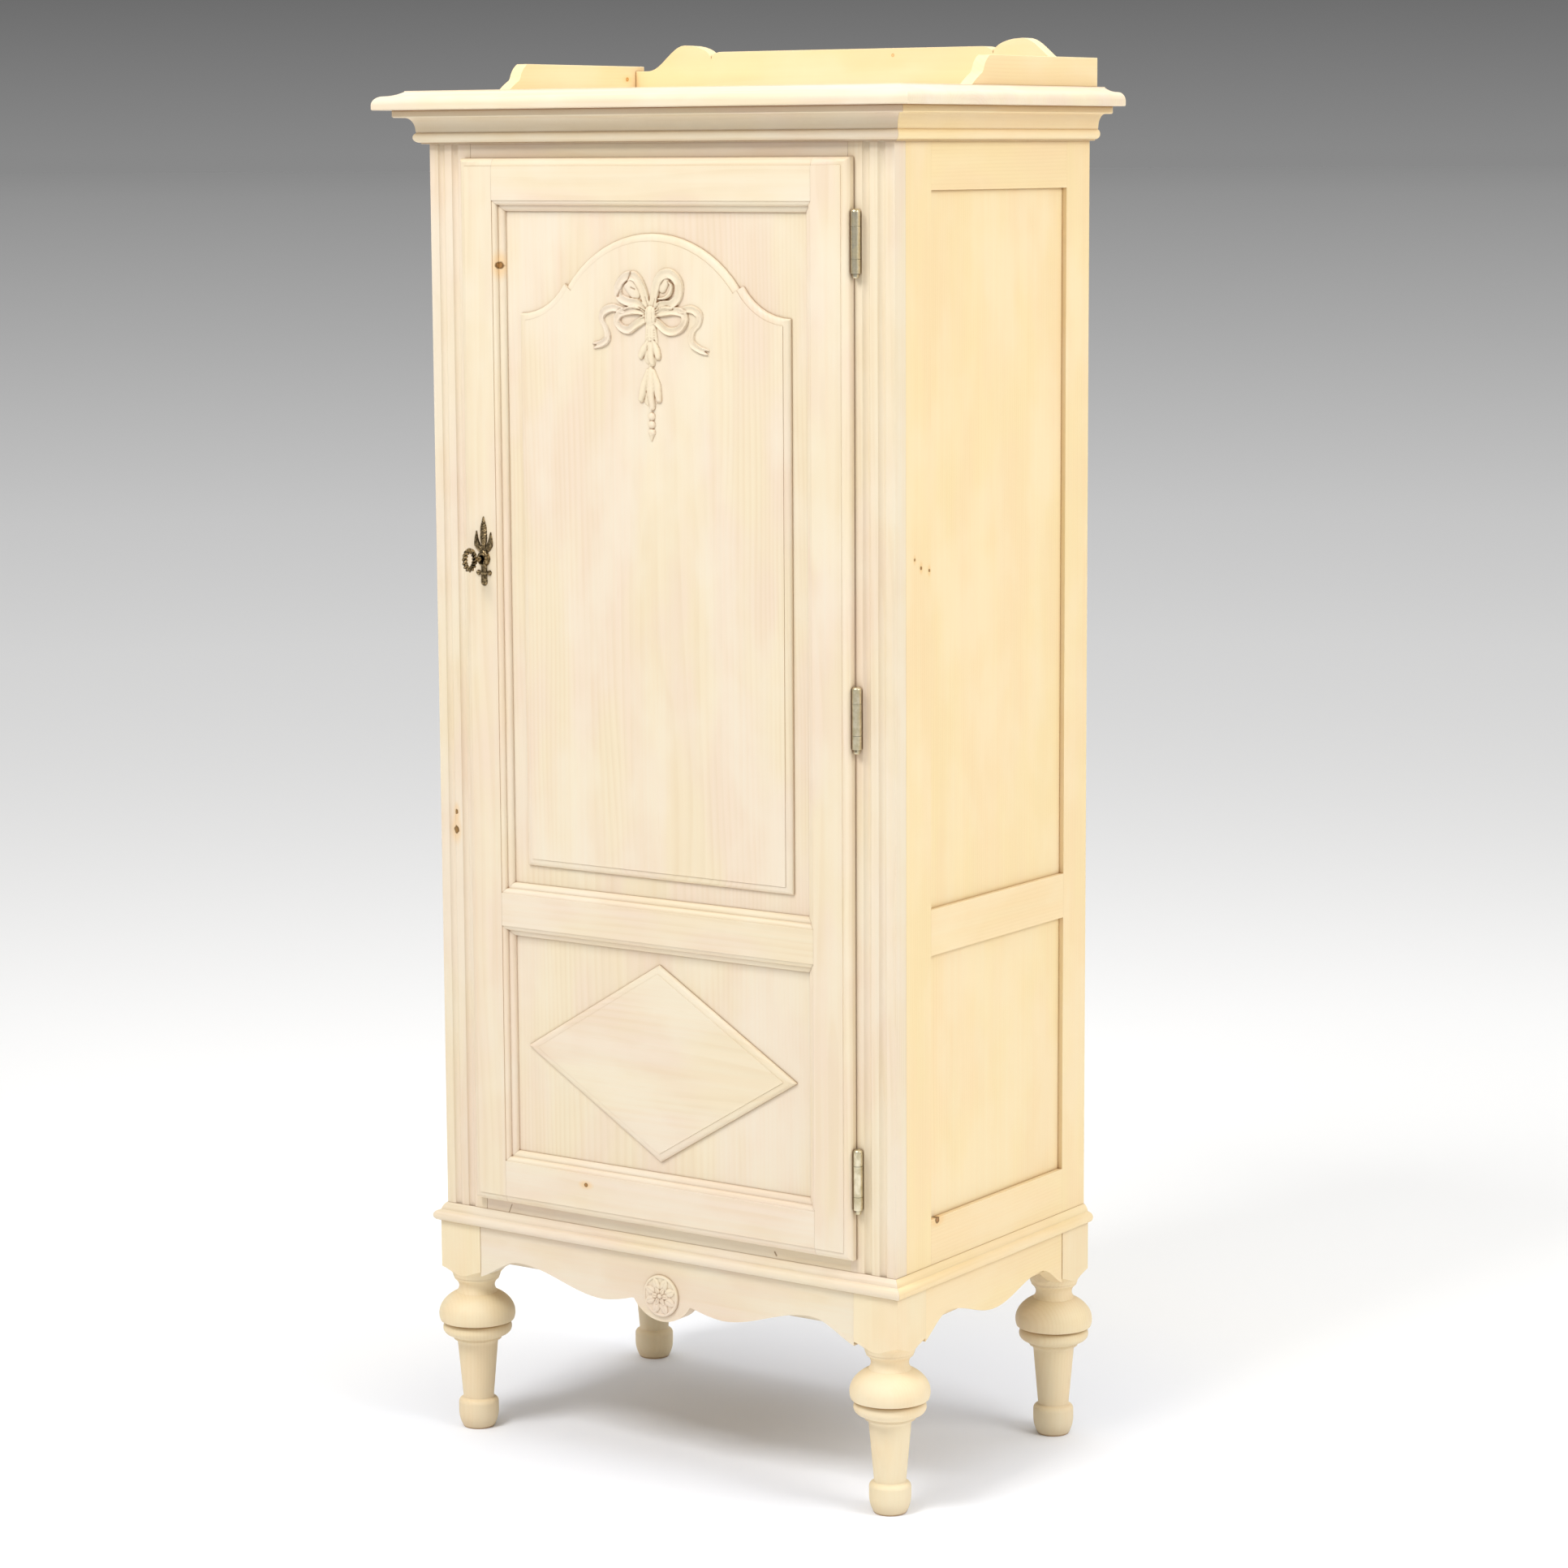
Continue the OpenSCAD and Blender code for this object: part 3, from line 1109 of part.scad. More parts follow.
lock_follower();
key();
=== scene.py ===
"""Looks of the jelly cupboard: limed pine, aged bronze, satin nickel and a plain pale studio.

Lengths are metres unless a name ends in _mm. +X is the viewer's right, +Y the back and +Z up.
"""

import logging
import math
from contextlib import contextmanager
from dataclasses import dataclass, field
from enum import Enum
from functools import partial
from typing import Iterator, Sequence

import bmesh
import bpy
import numpy as np
from mathutils import Matrix, Vector


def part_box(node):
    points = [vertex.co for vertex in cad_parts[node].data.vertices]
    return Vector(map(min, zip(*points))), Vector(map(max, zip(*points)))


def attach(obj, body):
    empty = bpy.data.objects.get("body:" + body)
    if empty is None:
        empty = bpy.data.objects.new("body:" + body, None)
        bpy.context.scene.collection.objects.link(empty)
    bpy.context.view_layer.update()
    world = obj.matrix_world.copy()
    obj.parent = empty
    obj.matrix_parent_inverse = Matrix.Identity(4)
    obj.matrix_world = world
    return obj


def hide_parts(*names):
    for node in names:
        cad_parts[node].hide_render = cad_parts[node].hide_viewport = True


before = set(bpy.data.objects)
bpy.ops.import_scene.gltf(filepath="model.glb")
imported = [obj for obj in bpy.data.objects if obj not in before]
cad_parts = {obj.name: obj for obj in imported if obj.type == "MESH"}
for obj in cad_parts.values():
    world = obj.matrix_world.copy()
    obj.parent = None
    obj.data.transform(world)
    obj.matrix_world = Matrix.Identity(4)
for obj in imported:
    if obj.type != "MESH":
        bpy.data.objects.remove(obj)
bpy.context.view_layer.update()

log = logging.getLogger("jelly_cupboard")
MM = 0.001
SMOOTH = {"interpolation_type": "SMOOTHSTEP"}
Colour = tuple[float, float, float, float]
Point = tuple[float, float]
Place = tuple[float, float, float]
Span = tuple[float, float, float, float]
Tree = bpy.types.NodeTree
Socket = bpy.types.NodeSocket
Mesh = bpy.types.Mesh
Piece = bpy.types.Object
Material = bpy.types.Material


class Grain(Enum):
    """The axis that a board's fibres follow, and the turns about X and Y that lay them along Z."""

    UP = (2, 0.0, 0.0)
    ACROSS = (0, 0.0, -math.pi / 2)
    BACK = (1, math.pi / 2, 0.0)


class Section(Enum):
    """How a carved form is rounded from its middle line to its edge."""

    RIBBON = "a band with raised edges and a hollow middle"
    ROUND = "a half round"
    PETAL = "a low dome with a vein along its middle"
    FLAT = "a flat with a rounded edge"
    GROOVE = "a line cut into what is already there"
    CUT = "an opening right through"


def linear(hex_colour: str) -> Colour:
    """Turn an sRGB hex value into linear light.

    Args:
        hex_colour: six hex digits after a hash.

    Returns:
        Red, green, blue and an alpha of one.
    """
    parts = [int(hex_colour[i:i + 2], 16) / 255 for i in (1, 3, 5)]
    light = [p / 12.92 if p <= 0.04045 else ((p + 0.055) / 1.055) ** 2.4 for p in parts]
    return (light[0], light[1], light[2], 1.0)


def add_node(tree: Tree, kind: str, *values: object, out: int | str = 0, more: dict | None = None,
             **settings: object) -> Socket | None:
    """Add one node with its settings, its values and its links.

    Args:
        tree: the node tree that takes it.
        kind: the node's type name, which may leave out ShaderNode at its start.
        values: its first inputs in order, each a value or the output that feeds it.
        out: the output to give back, by number or name.
        more: further inputs by number or name.
        settings: the node's own properties.

    Returns:
        The output, if the node has any.
    """
    whole = kind if kind.startswith(("Geometry", "Function", "Node")) else "ShaderNode" + kind
    node = tree.nodes.new(whole)
    for name, value in settings.items():
        setattr(node, name, value)
    for key, value in {**dict(enumerate(values)), **(more or {})}.items():
        if isinstance(value, Socket):
            tree.links.new(value, node.inputs[key])
        else:
            node.inputs[key].default_value = value
    return node.outputs[out] if node.outputs else None


def new_material(name: str) -> tuple[Material, Tree]:
    """Start a material with an empty tree.

    Args:
        name: its name.

    Returns:
        The material and its tree.
    """
    made = bpy.data.materials.new(name)
    made.use_nodes = True
    made.node_tree.nodes.clear()
    return made, made.node_tree


def layered(tree: Tree, colour: Socket | Colour, layers: Sequence[tuple[Socket, str]]) -> Socket:
    """Lay tones over a colour, one after the other.

    Args:
        tree: the node tree.
        colour: the colour under them.
        layers: how much of each tone shows, with the tone as an sRGB hex value.

    Returns:
        The finished colour.
    """
    for share, tone in layers:
        colour = add_node(tree, "Mix", share, out=2, more={6: colour, 7: linear(tone)}, data_type="RGBA")
    return colour


def stretched_noise(tree: Tree, vector: Socket, across_mm: float, along_mm: float, detail: float,
                    roughness: float = 0.5) -> Socket:
    """Make noise whose blotches are longer along the grain than across it.

    Args:
        tree: the node tree.
        vector: coordinates with Z along the grain.
        across_mm: a blotch's width.
        along_mm: a blotch's length.
        detail: how many finer layers it has.
        roughness: how strong the finer layers are.

    Returns:
        The noise as a number.
    """
    scale = (1 / (across_mm * MM), 1 / (across_mm * MM), 1 / (along_mm * MM))
    scaled = add_node(tree, "Mapping", vector, more={"Scale": scale})
    return add_node(tree, "TexNoise", scaled, more={"Scale": 1.0, "Detail": detail, "Roughness": roughness})


@dataclass(frozen=True)
class Knot:
    """A small knot that shows on the face of a board and goes straight into it."""

    place_mm: Place
    radius_mm: float
    halo: str = "#e4ba7a"
    eye: str = "#99692a"
    rim: str = "#614012"
    ragged_mm: float = 3.846

    def lay(self, tree: Tree, coordinates: Socket, board: "Board", colour: Socket) -> Socket:
        """Lay the knot on a board: a warm halo drawn out along the grain, a tan eye and a dark rim.

        Args:
            tree: the board's node tree.
            coordinates: the object's coordinates.
            board: how the board was cut.
            colour: its colour so far.

        Returns:
            The colour with the knot.
        """
        add = partial(add_node, tree)
        flat = [1.0, 1.0, 1.0]
        flat[board.depth_axis] = 0.2
        drawn_out = list(flat)
        drawn_out[board.grain.value[0]] *= 0.5
        away = add("VectorMath", coordinates, [v * MM for v in self.place_mm], operation="SUBTRACT")
        round_, long = (add("VectorMath", away, shape, operation="MULTIPLY") for shape in (flat, drawn_out))
        near, far = (add("VectorMath", v, out="Value", operation="LENGTH") for v in (round_, long))
        reach = self.radius_mm * MM
        wobble = add("TexNoise", coordinates, more={"Scale": 1 / (self.ragged_mm * MM), "Detail": 2.0})
        ragged = add("Math", wobble, 0.7 * reach, near, operation="MULTIPLY_ADD")
        halo = add("MapRange", far, 0.6 * reach, 2.1 * reach, 0.55, 0, **SMOOTH)
        eye = add("MapRange", ragged, 0.95 * reach, 1.3 * reach, 0.95, 0, **SMOOTH)
        rim = add("Math", add("MapRange", ragged, 0.75 * reach, reach, 0, 0.8, **SMOOTH),
                  add("MapRange", ragged, 1.05 * reach, 1.3 * reach, 1, 0, **SMOOTH), operation="MULTIPLY")
        return layered(tree, colour, ((halo, self.halo), (eye, self.eye), (rim, self.rim)))


@dataclass(frozen=True)
class Crack:
    """A short drying crack or scratch that shows as a fine dark line."""

    start_mm: Place
    end_mm: Place
    width_mm: float
    tone: str = "#8a6a45"

    def lay(self, tree: Tree, coordinates: Socket, _board: "Board", colour: Socket) -> Socket:
        """Lay the crack on a board.

        Args:
            tree: the board's node tree.
            coordinates: the object's coordinates.
            _board: how the board was cut, which a crack takes no account of.
            colour: the board's colour so far.

        Returns:
            The colour with the crack.
        """
        add = partial(add_node, tree)
        start, end = Vector(self.start_mm) * MM, Vector(self.end_mm) * MM
        run = end - start
        away = add("VectorMath", coordinates, start, operation="SUBTRACT")
        along = add("VectorMath", away, run / run.length_squared, out="Value", operation="DOT_PRODUCT")
        nearest = add("VectorMath", run, more={"Scale": add("Clamp", along)}, operation="SCALE")
        off = add("VectorMath", away, nearest, out="Value", operation="DISTANCE")
        width = self.width_mm * MM
        shown = add("MapRange", off, 0.4 * width, width, 0.8, 0, **SMOOTH)
        return layered(tree, colour, ((shown, self.tone),))


@dataclass(frozen=True)
class Board:
    """One piece of wood as it was cut: its grain, its place in the log and the marks on its face."""

    grain: Grain
    number: int
    marks: tuple[Knot | Crack, ...] = ()
    figure: float = 1.0
    depth_axis: int = 1
    # How strongly the painted shade in corners and hollows shows on this board, with the wax held there
    wax: float = 1.0


@dataclass(frozen=True)
class LimedPine:
    """Knotty pine, planed, brushed and rubbed with white lime wax, which dries to a chalky satin cream.

    The wax fills the soft early wood, so the year rings hardly show and most of the figure is faint hazy
    streaks. A pinkish tan is painted into corners and under edges: painted shade, with some wax held there.
    A run is a mark's length along the grain.
    A share is a low and a high value of its noise, and how much of the tone shows at each.
    """

    name: str
    slot: str
    wood: str
    late_wood: str
    blush: str
    lime: str
    # Painted shade: the tone painted into corners, recesses and under edges
    painted_shade_tone: str
    streak_mm: float = 4.5
    roughness: float = 0.5
    ring_mm: float = 4.0
    fibre_mm: float = 0.9
    cloud_mm: float = 90.0
    # Painted shade: how far it reaches from a crevice, and from a wider corner
    painted_crevice_shade_mm: float = 3.0
    shade_mm: float = 22.0
    bend_mm: float = 20.0
    lean: float = 0.012
    streak_run_mm: float = 420.0
    band_run_mm: float = 900.0
    fibre_run_mm: float = 30.0
    line_share: Span = (0.35, 0.65, 0.24, 0.08)
    band_share: Span = (0.3, 0.7, 0, 0.15)
    pore_share: Span = (0.6, 0.8, 0, 0.14)
    blush_share: Span = (0.4, 0.62, 0, 1)
    lime_share: Span = (0.42, 0.66, 0.1, 0.6)
    haze_share: Span = (0.25, 0.75, 0.986, 1.008)

    def figure(self) -> Tree:
        """Build the wood's figure once, as a group that every board shares.

        Returns:
            A group with coordinates and strengths in, and colour, roughness and height out.
        """
        name = self.name + "_figure"
        if name in bpy.data.node_groups:
            return bpy.data.node_groups[name]
        tree = bpy.data.node_groups.new(name, "ShaderNodeTree")
        for label, way, kind in (("Vector", "INPUT", "Vector"), ("Figure", "INPUT", "Float"),
                                 ("Wax And Painted Shade", "INPUT", "Float"), ("Color", "OUTPUT", "Color"),
                                 ("Roughness", "OUTPUT", "Float"), ("Height", "OUTPUT", "Float")):
            tree.interface.new_socket(label, in_out=way, socket_type="NodeSocket" + kind)
        add = partial(add_node, tree)
        given = add("NodeGroupInput").node.outputs
        vector, figure = given["Vector"], given["Figure"]
        rings = self._rings(tree, vector)
        streaks, bands, fibres, cloud, drift = (stretched_noise(tree, vector, *sizes) for sizes in (
            (self.streak_mm, self.streak_run_mm, 2, 0.6), (5 * self.streak_mm, self.band_run_mm, 1),
            (self.fibre_mm, self.fibre_run_mm, 2), (self.cloud_mm, 2 * self.cloud_mm, 3, 0.55),
            (0.8 * self.cloud_mm, 2.6 * self.cloud_mm, 2)))
        clear, band, pore, warm, chalk, haze = (
            add("MapRange", noise, *share, **SMOOTH) for noise, share in (
                (cloud, self.line_share), (bands, self.band_share), (fibres, self.pore_share),
                (drift, self.blush_share), (cloud, self.lime_share), (streaks, self.haze_share)))
        line = add("Math", rings, clear, operation="MULTIPLY")
        line, band, pore = (add("Math", mark, figure, operation="MULTIPLY") for mark in (line, band, pore))
        body = layered(tree, linear(self.wood), (
            (warm, self.blush), (line, self.late_wood), (band, self.late_wood), (chalk, self.lime)))
        tint = add("CombineColor", 1.0, haze, add("Math", haze, 2.0, operation="POWER"))
        body = add("Mix", figure, out=2, more={6: body, 7: tint}, data_type="RGBA", blend_type="MULTIPLY")
        body = layered(tree, body, ((pore, self.late_wood),))
        # Painted shade: ambient occlusion at two reaches lays the painted shade tone into corners, recesses
        # and under edges, with some wax held there, scaled per board
        for reach_mm, low, high, share in (
                (self.shade_mm, 0.3, 0.95, 0.2), (self.painted_crevice_shade_mm, 0.25, 0.9, 0.9)):
            corner = add("AmbientOcclusion", out="AO", more={"Distance": reach_mm * MM}, samples=6)
            painted_shade_share = add("MapRange", corner, low, high, share, 0, **SMOOTH)
            painted_shade_layer = add("Math", painted_shade_share, given["Wax And Painted Shade"], operation="MULTIPLY")
            body = layered(tree, body, ((painted_shade_layer, self.painted_shade_tone),))
        rough = add("MapRange", cloud, 0.3, 0.7, self.roughness, self.roughness + 0.14, **SMOOTH)
        brushed = add("Math", fibres, 0.55, operation="MULTIPLY")
        height = add("Math", rings, -0.3, brushed, operation="MULTIPLY_ADD")
        add("NodeGroupOutput", body, rough, height)
        return tree

    def _rings(self, tree: Tree, vector: Socket) -> Socket:
        """Draw the year rings round a pith that leans and wanders.

        Args:
            tree: the group that takes the nodes.
            vector: coordinates with Z along the grain and the pith at the middle.

        Returns:
            Nought in the early wood, rising to one at the late wood's edge.
        """
        add = partial(add_node, tree)
        wander = stretched_noise(tree, vector, 90, 700, 2).node.outputs["Color"]
        centred = add("VectorMath", wander, (0.5, 0.5, 0.5), operation="SUBTRACT")
        bend = (self.bend_mm * MM, self.bend_mm * MM, 0.0)
        bent = add("VectorMath", centred, bend, vector, operation="MULTIPLY_ADD")
        x, y, z = add("SeparateXYZ", bent).node.outputs
        lean = add("Math", z, self.lean, x, operation="MULTIPLY_ADD")
        radius = add("VectorMath", add("CombineXYZ", lean, y), out="Value", operation="LENGTH")
        age = add("Math", radius, 1 / (self.ring_mm * MM), operation="MULTIPLY")
        year = add("Math", age, operation="FRACT")
        return add("Math", add("MapRange", year, 0.3, 0.85, 0, 1, **SMOOTH),
                   add("MapRange", year, 0.88, 1.0, 1, 0, **SMOOTH), operation="MULTIPLY")

    def material(self, board: Board, piece: Piece) -> Material:
        """Make the finish of one board.

        Args:
            board: how the piece was cut.
            piece: the object that it covers, whose middle the log's place is set from.

        Returns:
            The board's material.
        """
        made, tree = new_material(f"{self.name}_{piece.name}")
        add = partial(add_node, tree)
        coordinates = add("TexCoord", out="Object")
        _, about_x, about_y = board.grain.value
        turn = Matrix.Rotation(about_x, 3, "X") @ Matrix.Rotation(about_y, 3, "Y")
        middle = turn @ (sum((Vector(c) for c in piece.bound_box), Vector()) / 8)
        draw = np.random.default_rng(board.number)
        pith = Vector((draw.uniform(-0.06, 0.06), draw.uniform(0.1, 0.2), draw.uniform(-3, 3)))
        mapped = add("Mapping", coordinates, pith - middle, (about_x, about_y, 0.0))
        pine = add("Group", mapped, board.figure, board.wax, node_tree=self.figure())
        colour, rough, height = pine.node.outputs
        for mark in board.marks:
            colour = mark.lay(tree, coordinates, board, colour)
        bump = add("Bump", more={"Strength": 0.3, "Distance": 0.2 * MM, "Height": height})
        add("OutputMaterial", add("BsdfPrincipled", more={
            "Base Color": colour, "Roughness": rough, "Normal": bump, "IOR": 1.5}))
        return made


@dataclass(frozen=True)
class AgedMetal:
    """A cast or drawn metal whose skin has dulled: darker in its hollows and brighter where hands rub it."""

    name: str
    slot: str
    bright: str
    dull: str
    dark: str
    roughness: float
    blotch_mm: float = 3.0
    grit_mm: float = 0.5
    hollow_mm: float = 2.5

    def material(self) -> Material:
        """Make the metal.

        Returns:
            Its material, made once.
        """
        if self.name in bpy.data.materials:
            return bpy.data.materials[self.name]
        made, tree = new_material(self.name)
        add = partial(add_node, tree)
        at = add("TexCoord", out="Object")
        blotch, grit = (
            add("TexNoise", at, more={"Scale": 1 / (size * MM), "Detail": detail, "Roughness": finer})
            for size, detail, finer in ((self.blotch_mm, 3.0, 0.6), (self.grit_mm, 2.0, 0.5)))
        hollow = add("AmbientOcclusion", out="AO", more={"Distance": self.hollow_mm * MM}, samples=6)
        colour = layered(tree, linear(self.bright), (
            (add("MapRange", blotch, 0.35, 0.65, 0, 1, **SMOOTH), self.dull),
            (add("MapRange", hollow, 0.35, 0.95, 1, 0, **SMOOTH), self.dark)))
        rough = add("MapRange", blotch, 0.3, 0.7, self.roughness - 0.06, self.roughness + 0.12, **SMOOTH)
        bump = add("Bump", more={"Strength": 0.2, "Distance": 0.06 * MM, "Height": grit})
        add("OutputMaterial", add("BsdfPrincipled", more={
            "Base Color": colour, "Roughness": rough, "Metallic": 1.0, "Normal": bump}))
        return made


# Front boards: pinkish cream under the wax
FRONT_PINE = LimedPine("limed_pine_front", "front_pine", wood="#e3d4b7", late_wood="#d4bc93",
                       blush="#e2cfba", lime="#e4dac6", painted_shade_tone="#946c44")
# Side boards: the same pine, yellower, as they were waxed less
SIDE_PINE = LimedPine("limed_pine_side", "side_pine", wood="#ebd5a5", late_wood="#dfc48e", blush="#ebd2a6",
                      lime="#ebd9b5", painted_shade_tone="#a87c44", streak_mm=6.5)
# Turned pine of the legs: the curved end grain takes less wax and keeps an amber tone
LEG_PINE = LimedPine("limed_pine_turned", "front_pine", wood="#e7d4ad", late_wood="#d8bc87", blush="#e8d1ab",
                     lime="#e8dbbd", painted_shade_tone="#a0753f")
# Pine that the wax never reached: inner faces, shelves and the back, dulled by years of dust
INNER_PINE = LimedPine("bare_pine_inside", "side_pine", wood="#d3c5ab", late_wood="#b99c74", blush="#cfbda2",
                       lime="#d6cab4", painted_shade_tone="#8c6d45", roughness=0.62)
# Cast bronze with years of wax in its hollows
AGED_BRONZE = AgedMetal("cast_bronze_aged", "aged_bronze", bright="#a8926c", dull="#4f422e", dark="#0e0905",
                        roughness=0.3, hollow_mm=3.5)
# Drawn steel barrels and pressed leaves with a satin nickel plating, a little yellowed
SATIN_NICKEL = AgedMetal("drawn_steel_satin_nickel", "hinge_nickel", bright="#dcd3ba", dull="#c6bb9c",
                         dark="#4a3f2c", roughness=0.34, blotch_mm=9.0)
# Pressed steel with a grey zinc coat
LOCK_STEEL = AgedMetal("pressed_steel_zinc", "lock_steel", bright="#b9bab6", dull="#9a9b98", dark="#44423e",
                       roughness=0.4, blotch_mm=7.0)


def corners(node: str) -> tuple[Vector, Vector]:
    """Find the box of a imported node.

    Args:
        node: the node's name.

    Returns:
        Its low and its high corner.
    """
    low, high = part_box(node)
    return Vector(low), Vector(high)


@contextmanager
def worked(mesh: Mesh) -> Iterator[bmesh.types.BMesh]:
    """Open a mesh to work on it, and write it back afterwards.

    Args:
        mesh: the mesh, which changes.

    Yields:
        The mesh in its form for editing.
    """
    shape = bmesh.new()
    shape.from_mesh(mesh)
    yield shape
    shape.to_mesh(mesh)
    shape.free()


def link(name: str, mesh: Mesh) -> Piece:
    """Put a mesh in the scene as an object at the origin.

    Args:
        name: the piece's name.
        mesh: its mesh, already in place.

    Returns:
        The object.
    """
    piece = bpy.data.objects.new(name, mesh)
    bpy.context.scene.collection.objects.link(piece)
    return piece


def baked(piece: Piece) -> Piece:
    """Turn the result of a piece's modifiers into its plain mesh and remove them.

    Args:
        piece: the object.

    Returns:
        The same object.
    """
    graph = bpy.context.evaluated_depsgraph_get()
    result = bpy.data.meshes.new_from_object(piece.evaluated_get(graph), depsgraph=graph)
    piece.modifiers.clear()
    old = piece.data
    piece.data = result
    bpy.data.meshes.remove(old)
    result.name = piece.name
    return piece


def shade(piece: Piece, degrees: float) -> None:
    """Shade a piece smooth, but keep its edges sharp past an angle.

    Args:
        piece: the object.
        degrees: the angle between two faces past which their edge stays sharp.
    """
    piece.data.shade_smooth()
    piece.data.set_sharp_from_angle(angle=math.radians(degrees))


def joined(name: str, meshes: Sequence[Mesh]) -> Mesh:
    """Gather several meshes into one and drop the originals, with any object that holds one.

    Args:
        name: the new mesh's name.
        meshes: the meshes, all in place.

    Returns:
        The mesh that holds them all.
    """
    whole = bpy.data.meshes.new(name)
    with worked(whole) as shape:
        for mesh in meshes:
            shape.from_mesh(mesh)
            bpy.data.meshes.remove(mesh)
    return whole


def turned(name: str, profile_mm: Sequence[Point], seat: Matrix, segments: int = 48) -> Mesh:
    """Turn a profile on a lathe.

    Args:
        name: the mesh's name.
        profile_mm: radius and distance along the axis, from one end to the other.
        seat: where the axis stands, with local Z along it.
        segments: steps round the axis.

    Returns:
        A closed mesh.
    """
    mesh = bpy.data.meshes.new(name)
    with worked(mesh) as shape:
        points = [shape.verts.new((radius * MM, 0, along * MM)) for radius, along in profile_mm]
        edges = [shape.edges.new(pair) for pair in zip(points, points[1:])]
        bmesh.ops.spin(shape, geom=points + edges, axis=(0, 0, 1), angle=math.tau, steps=segments)
        bmesh.ops.remove_doubles(shape, verts=shape.verts, dist=0.001 * MM)
        bmesh.ops.recalc_face_normals(shape, faces=shape.faces)
        shape.transform(seat)
    return mesh


def bead(radius: float, middle: float, half_width: float, core: float) -> list[Point]:
    """Draw a turned bead as part of a lathe profile.

    Args:
        radius: how far it stands from the axis.
        middle: its place along the axis.
        half_width: half its width along the axis.
        core: the radius on both sides of it.

    Returns:
        Its points, in the profile's order.
    """
    turns = [math.pi * i / 8 for i in range(9)]
    return [(core + (radius - core) * math.sin(t), middle - half_width * math.cos(t)) for t in turns]


@dataclass(frozen=True)
class Stroke:
    """One carved form, drawn along a smooth line from the middle of its carving.

    Its half widths and heights are spread evenly along the line. A line of one point is a boss.
    """

    line: tuple[Point, ...]
    half_mm: tuple[float, ...]
    rise_mm: tuple[float, ...]
    section: Section
    edge_mm: float = 1.3
    trench_mm: float = 0.5

    def path(self, steps: int = 10) -> np.ndarray:
        """Draw the line smoothly through its points.

        Args:
            steps: points from each given point to the next.

        Returns:
            The points, one a row.
        """
        given = np.array(self.line, float)
        if len(given) == 1:
            return given
        ends = np.vstack([2 * given[0] - given[1], given, 2 * given[-1] - given[-2]])
        t = np.linspace(0, 1, steps, endpoint=False)[:, None]
        spans = [b + t * ((c - a) + t * (2 * a - 5 * b + 4 * c - d) + t * t * (3 * b - a - 3 * c + d)) / 2
                 for a, b, c, d in zip(ends, ends[1:], ends[2:], ends[3:])]
        return np.vstack([*spans, given[-1:]])

    def crown(self, depth: np.ndarray, off: np.ndarray) -> np.ndarray:
        """Give the section's height as a share of the form's own height.

        Args:
            depth: distance in from the form's edge, in mm.
            off: distance from the middle line as a share of the half width.

        Returns:
            The share at each place.
        """
        edge = np.clip(depth / self.edge_mm, 0, 1)
        edge = edge * edge * (3 - 2 * edge)
        dome = np.sqrt(np.clip(1 - off ** 2, 0, 1))
        if self.section is Section.RIBBON:
            return edge * (1 - 0.6 * np.cos(np.clip(off, 0, 1) * math.pi / 2) ** 2)
        if self.section is Section.PETAL:
            return dome * (1 - 0.32 * np.exp(-(off / 0.2) ** 2))
        return dome if self.section is Section.ROUND else edge

    def carve(self, x: np.ndarray, z: np.ndarray, ground: np.ndarray) -> None:
        """Work the form into a field of heights.

        Args:
            x: each place across, in mm.
            z: each place up, in mm.
            ground: the heights so far, which change.
        """
        path = self.path()
        share = np.linspace(0, 1, len(path))
        half, rise = (np.interp(share, np.linspace(0, 1, len(v)), v) for v in (self.half_mm, self.rise_mm))
        reach = half.max() + 2
        near_x = (x[:, 0] > path[:, 0].min() - reach) & (x[:, 0] < path[:, 0].max() + reach)
        near_z = (z[0] > path[:, 1].min() - reach) & (z[0] < path[:, 1].max() + reach)
        window = np.ix_(near_x, near_z)
        away = np.hypot(x[window][..., None] - path[:, 0], z[window][..., None] - path[:, 1])
        nearest = np.argmax(half - away, axis=-1)
        away = np.take_along_axis(away, nearest[..., None], -1)[..., 0]
        depth, off = half[nearest] - away, away / half[nearest]
        below = ground[window]
        if self.section is Section.GROOVE:
            ground[window] = np.where(below > 0.3, below - rise[nearest] * np.exp(-2 * off ** 2), below)
        elif self.section is Section.CUT:
            ground[window] = np.minimum(below, -3 * depth)
        else:
            trench = self.trench_mm * np.exp(-(depth / 0.6) ** 2)
            below = np.where((depth < 0) & (below > 0.6), below - trench, below)
            form = np.where(depth > 0, rise[nearest] * self.crown(depth, off), 2 * depth)
            ground[window] = np.maximum(below, form)


def alike(section: Section, *forms: tuple) -> tuple[Stroke, ...]:
    """Name several forms of one section.

    Args:
        section: how they are rounded.
        forms: each one's line, half widths and heights.

    Returns:
        The forms in their order.
    """
    return tuple(Stroke(*form, section) for form in forms)


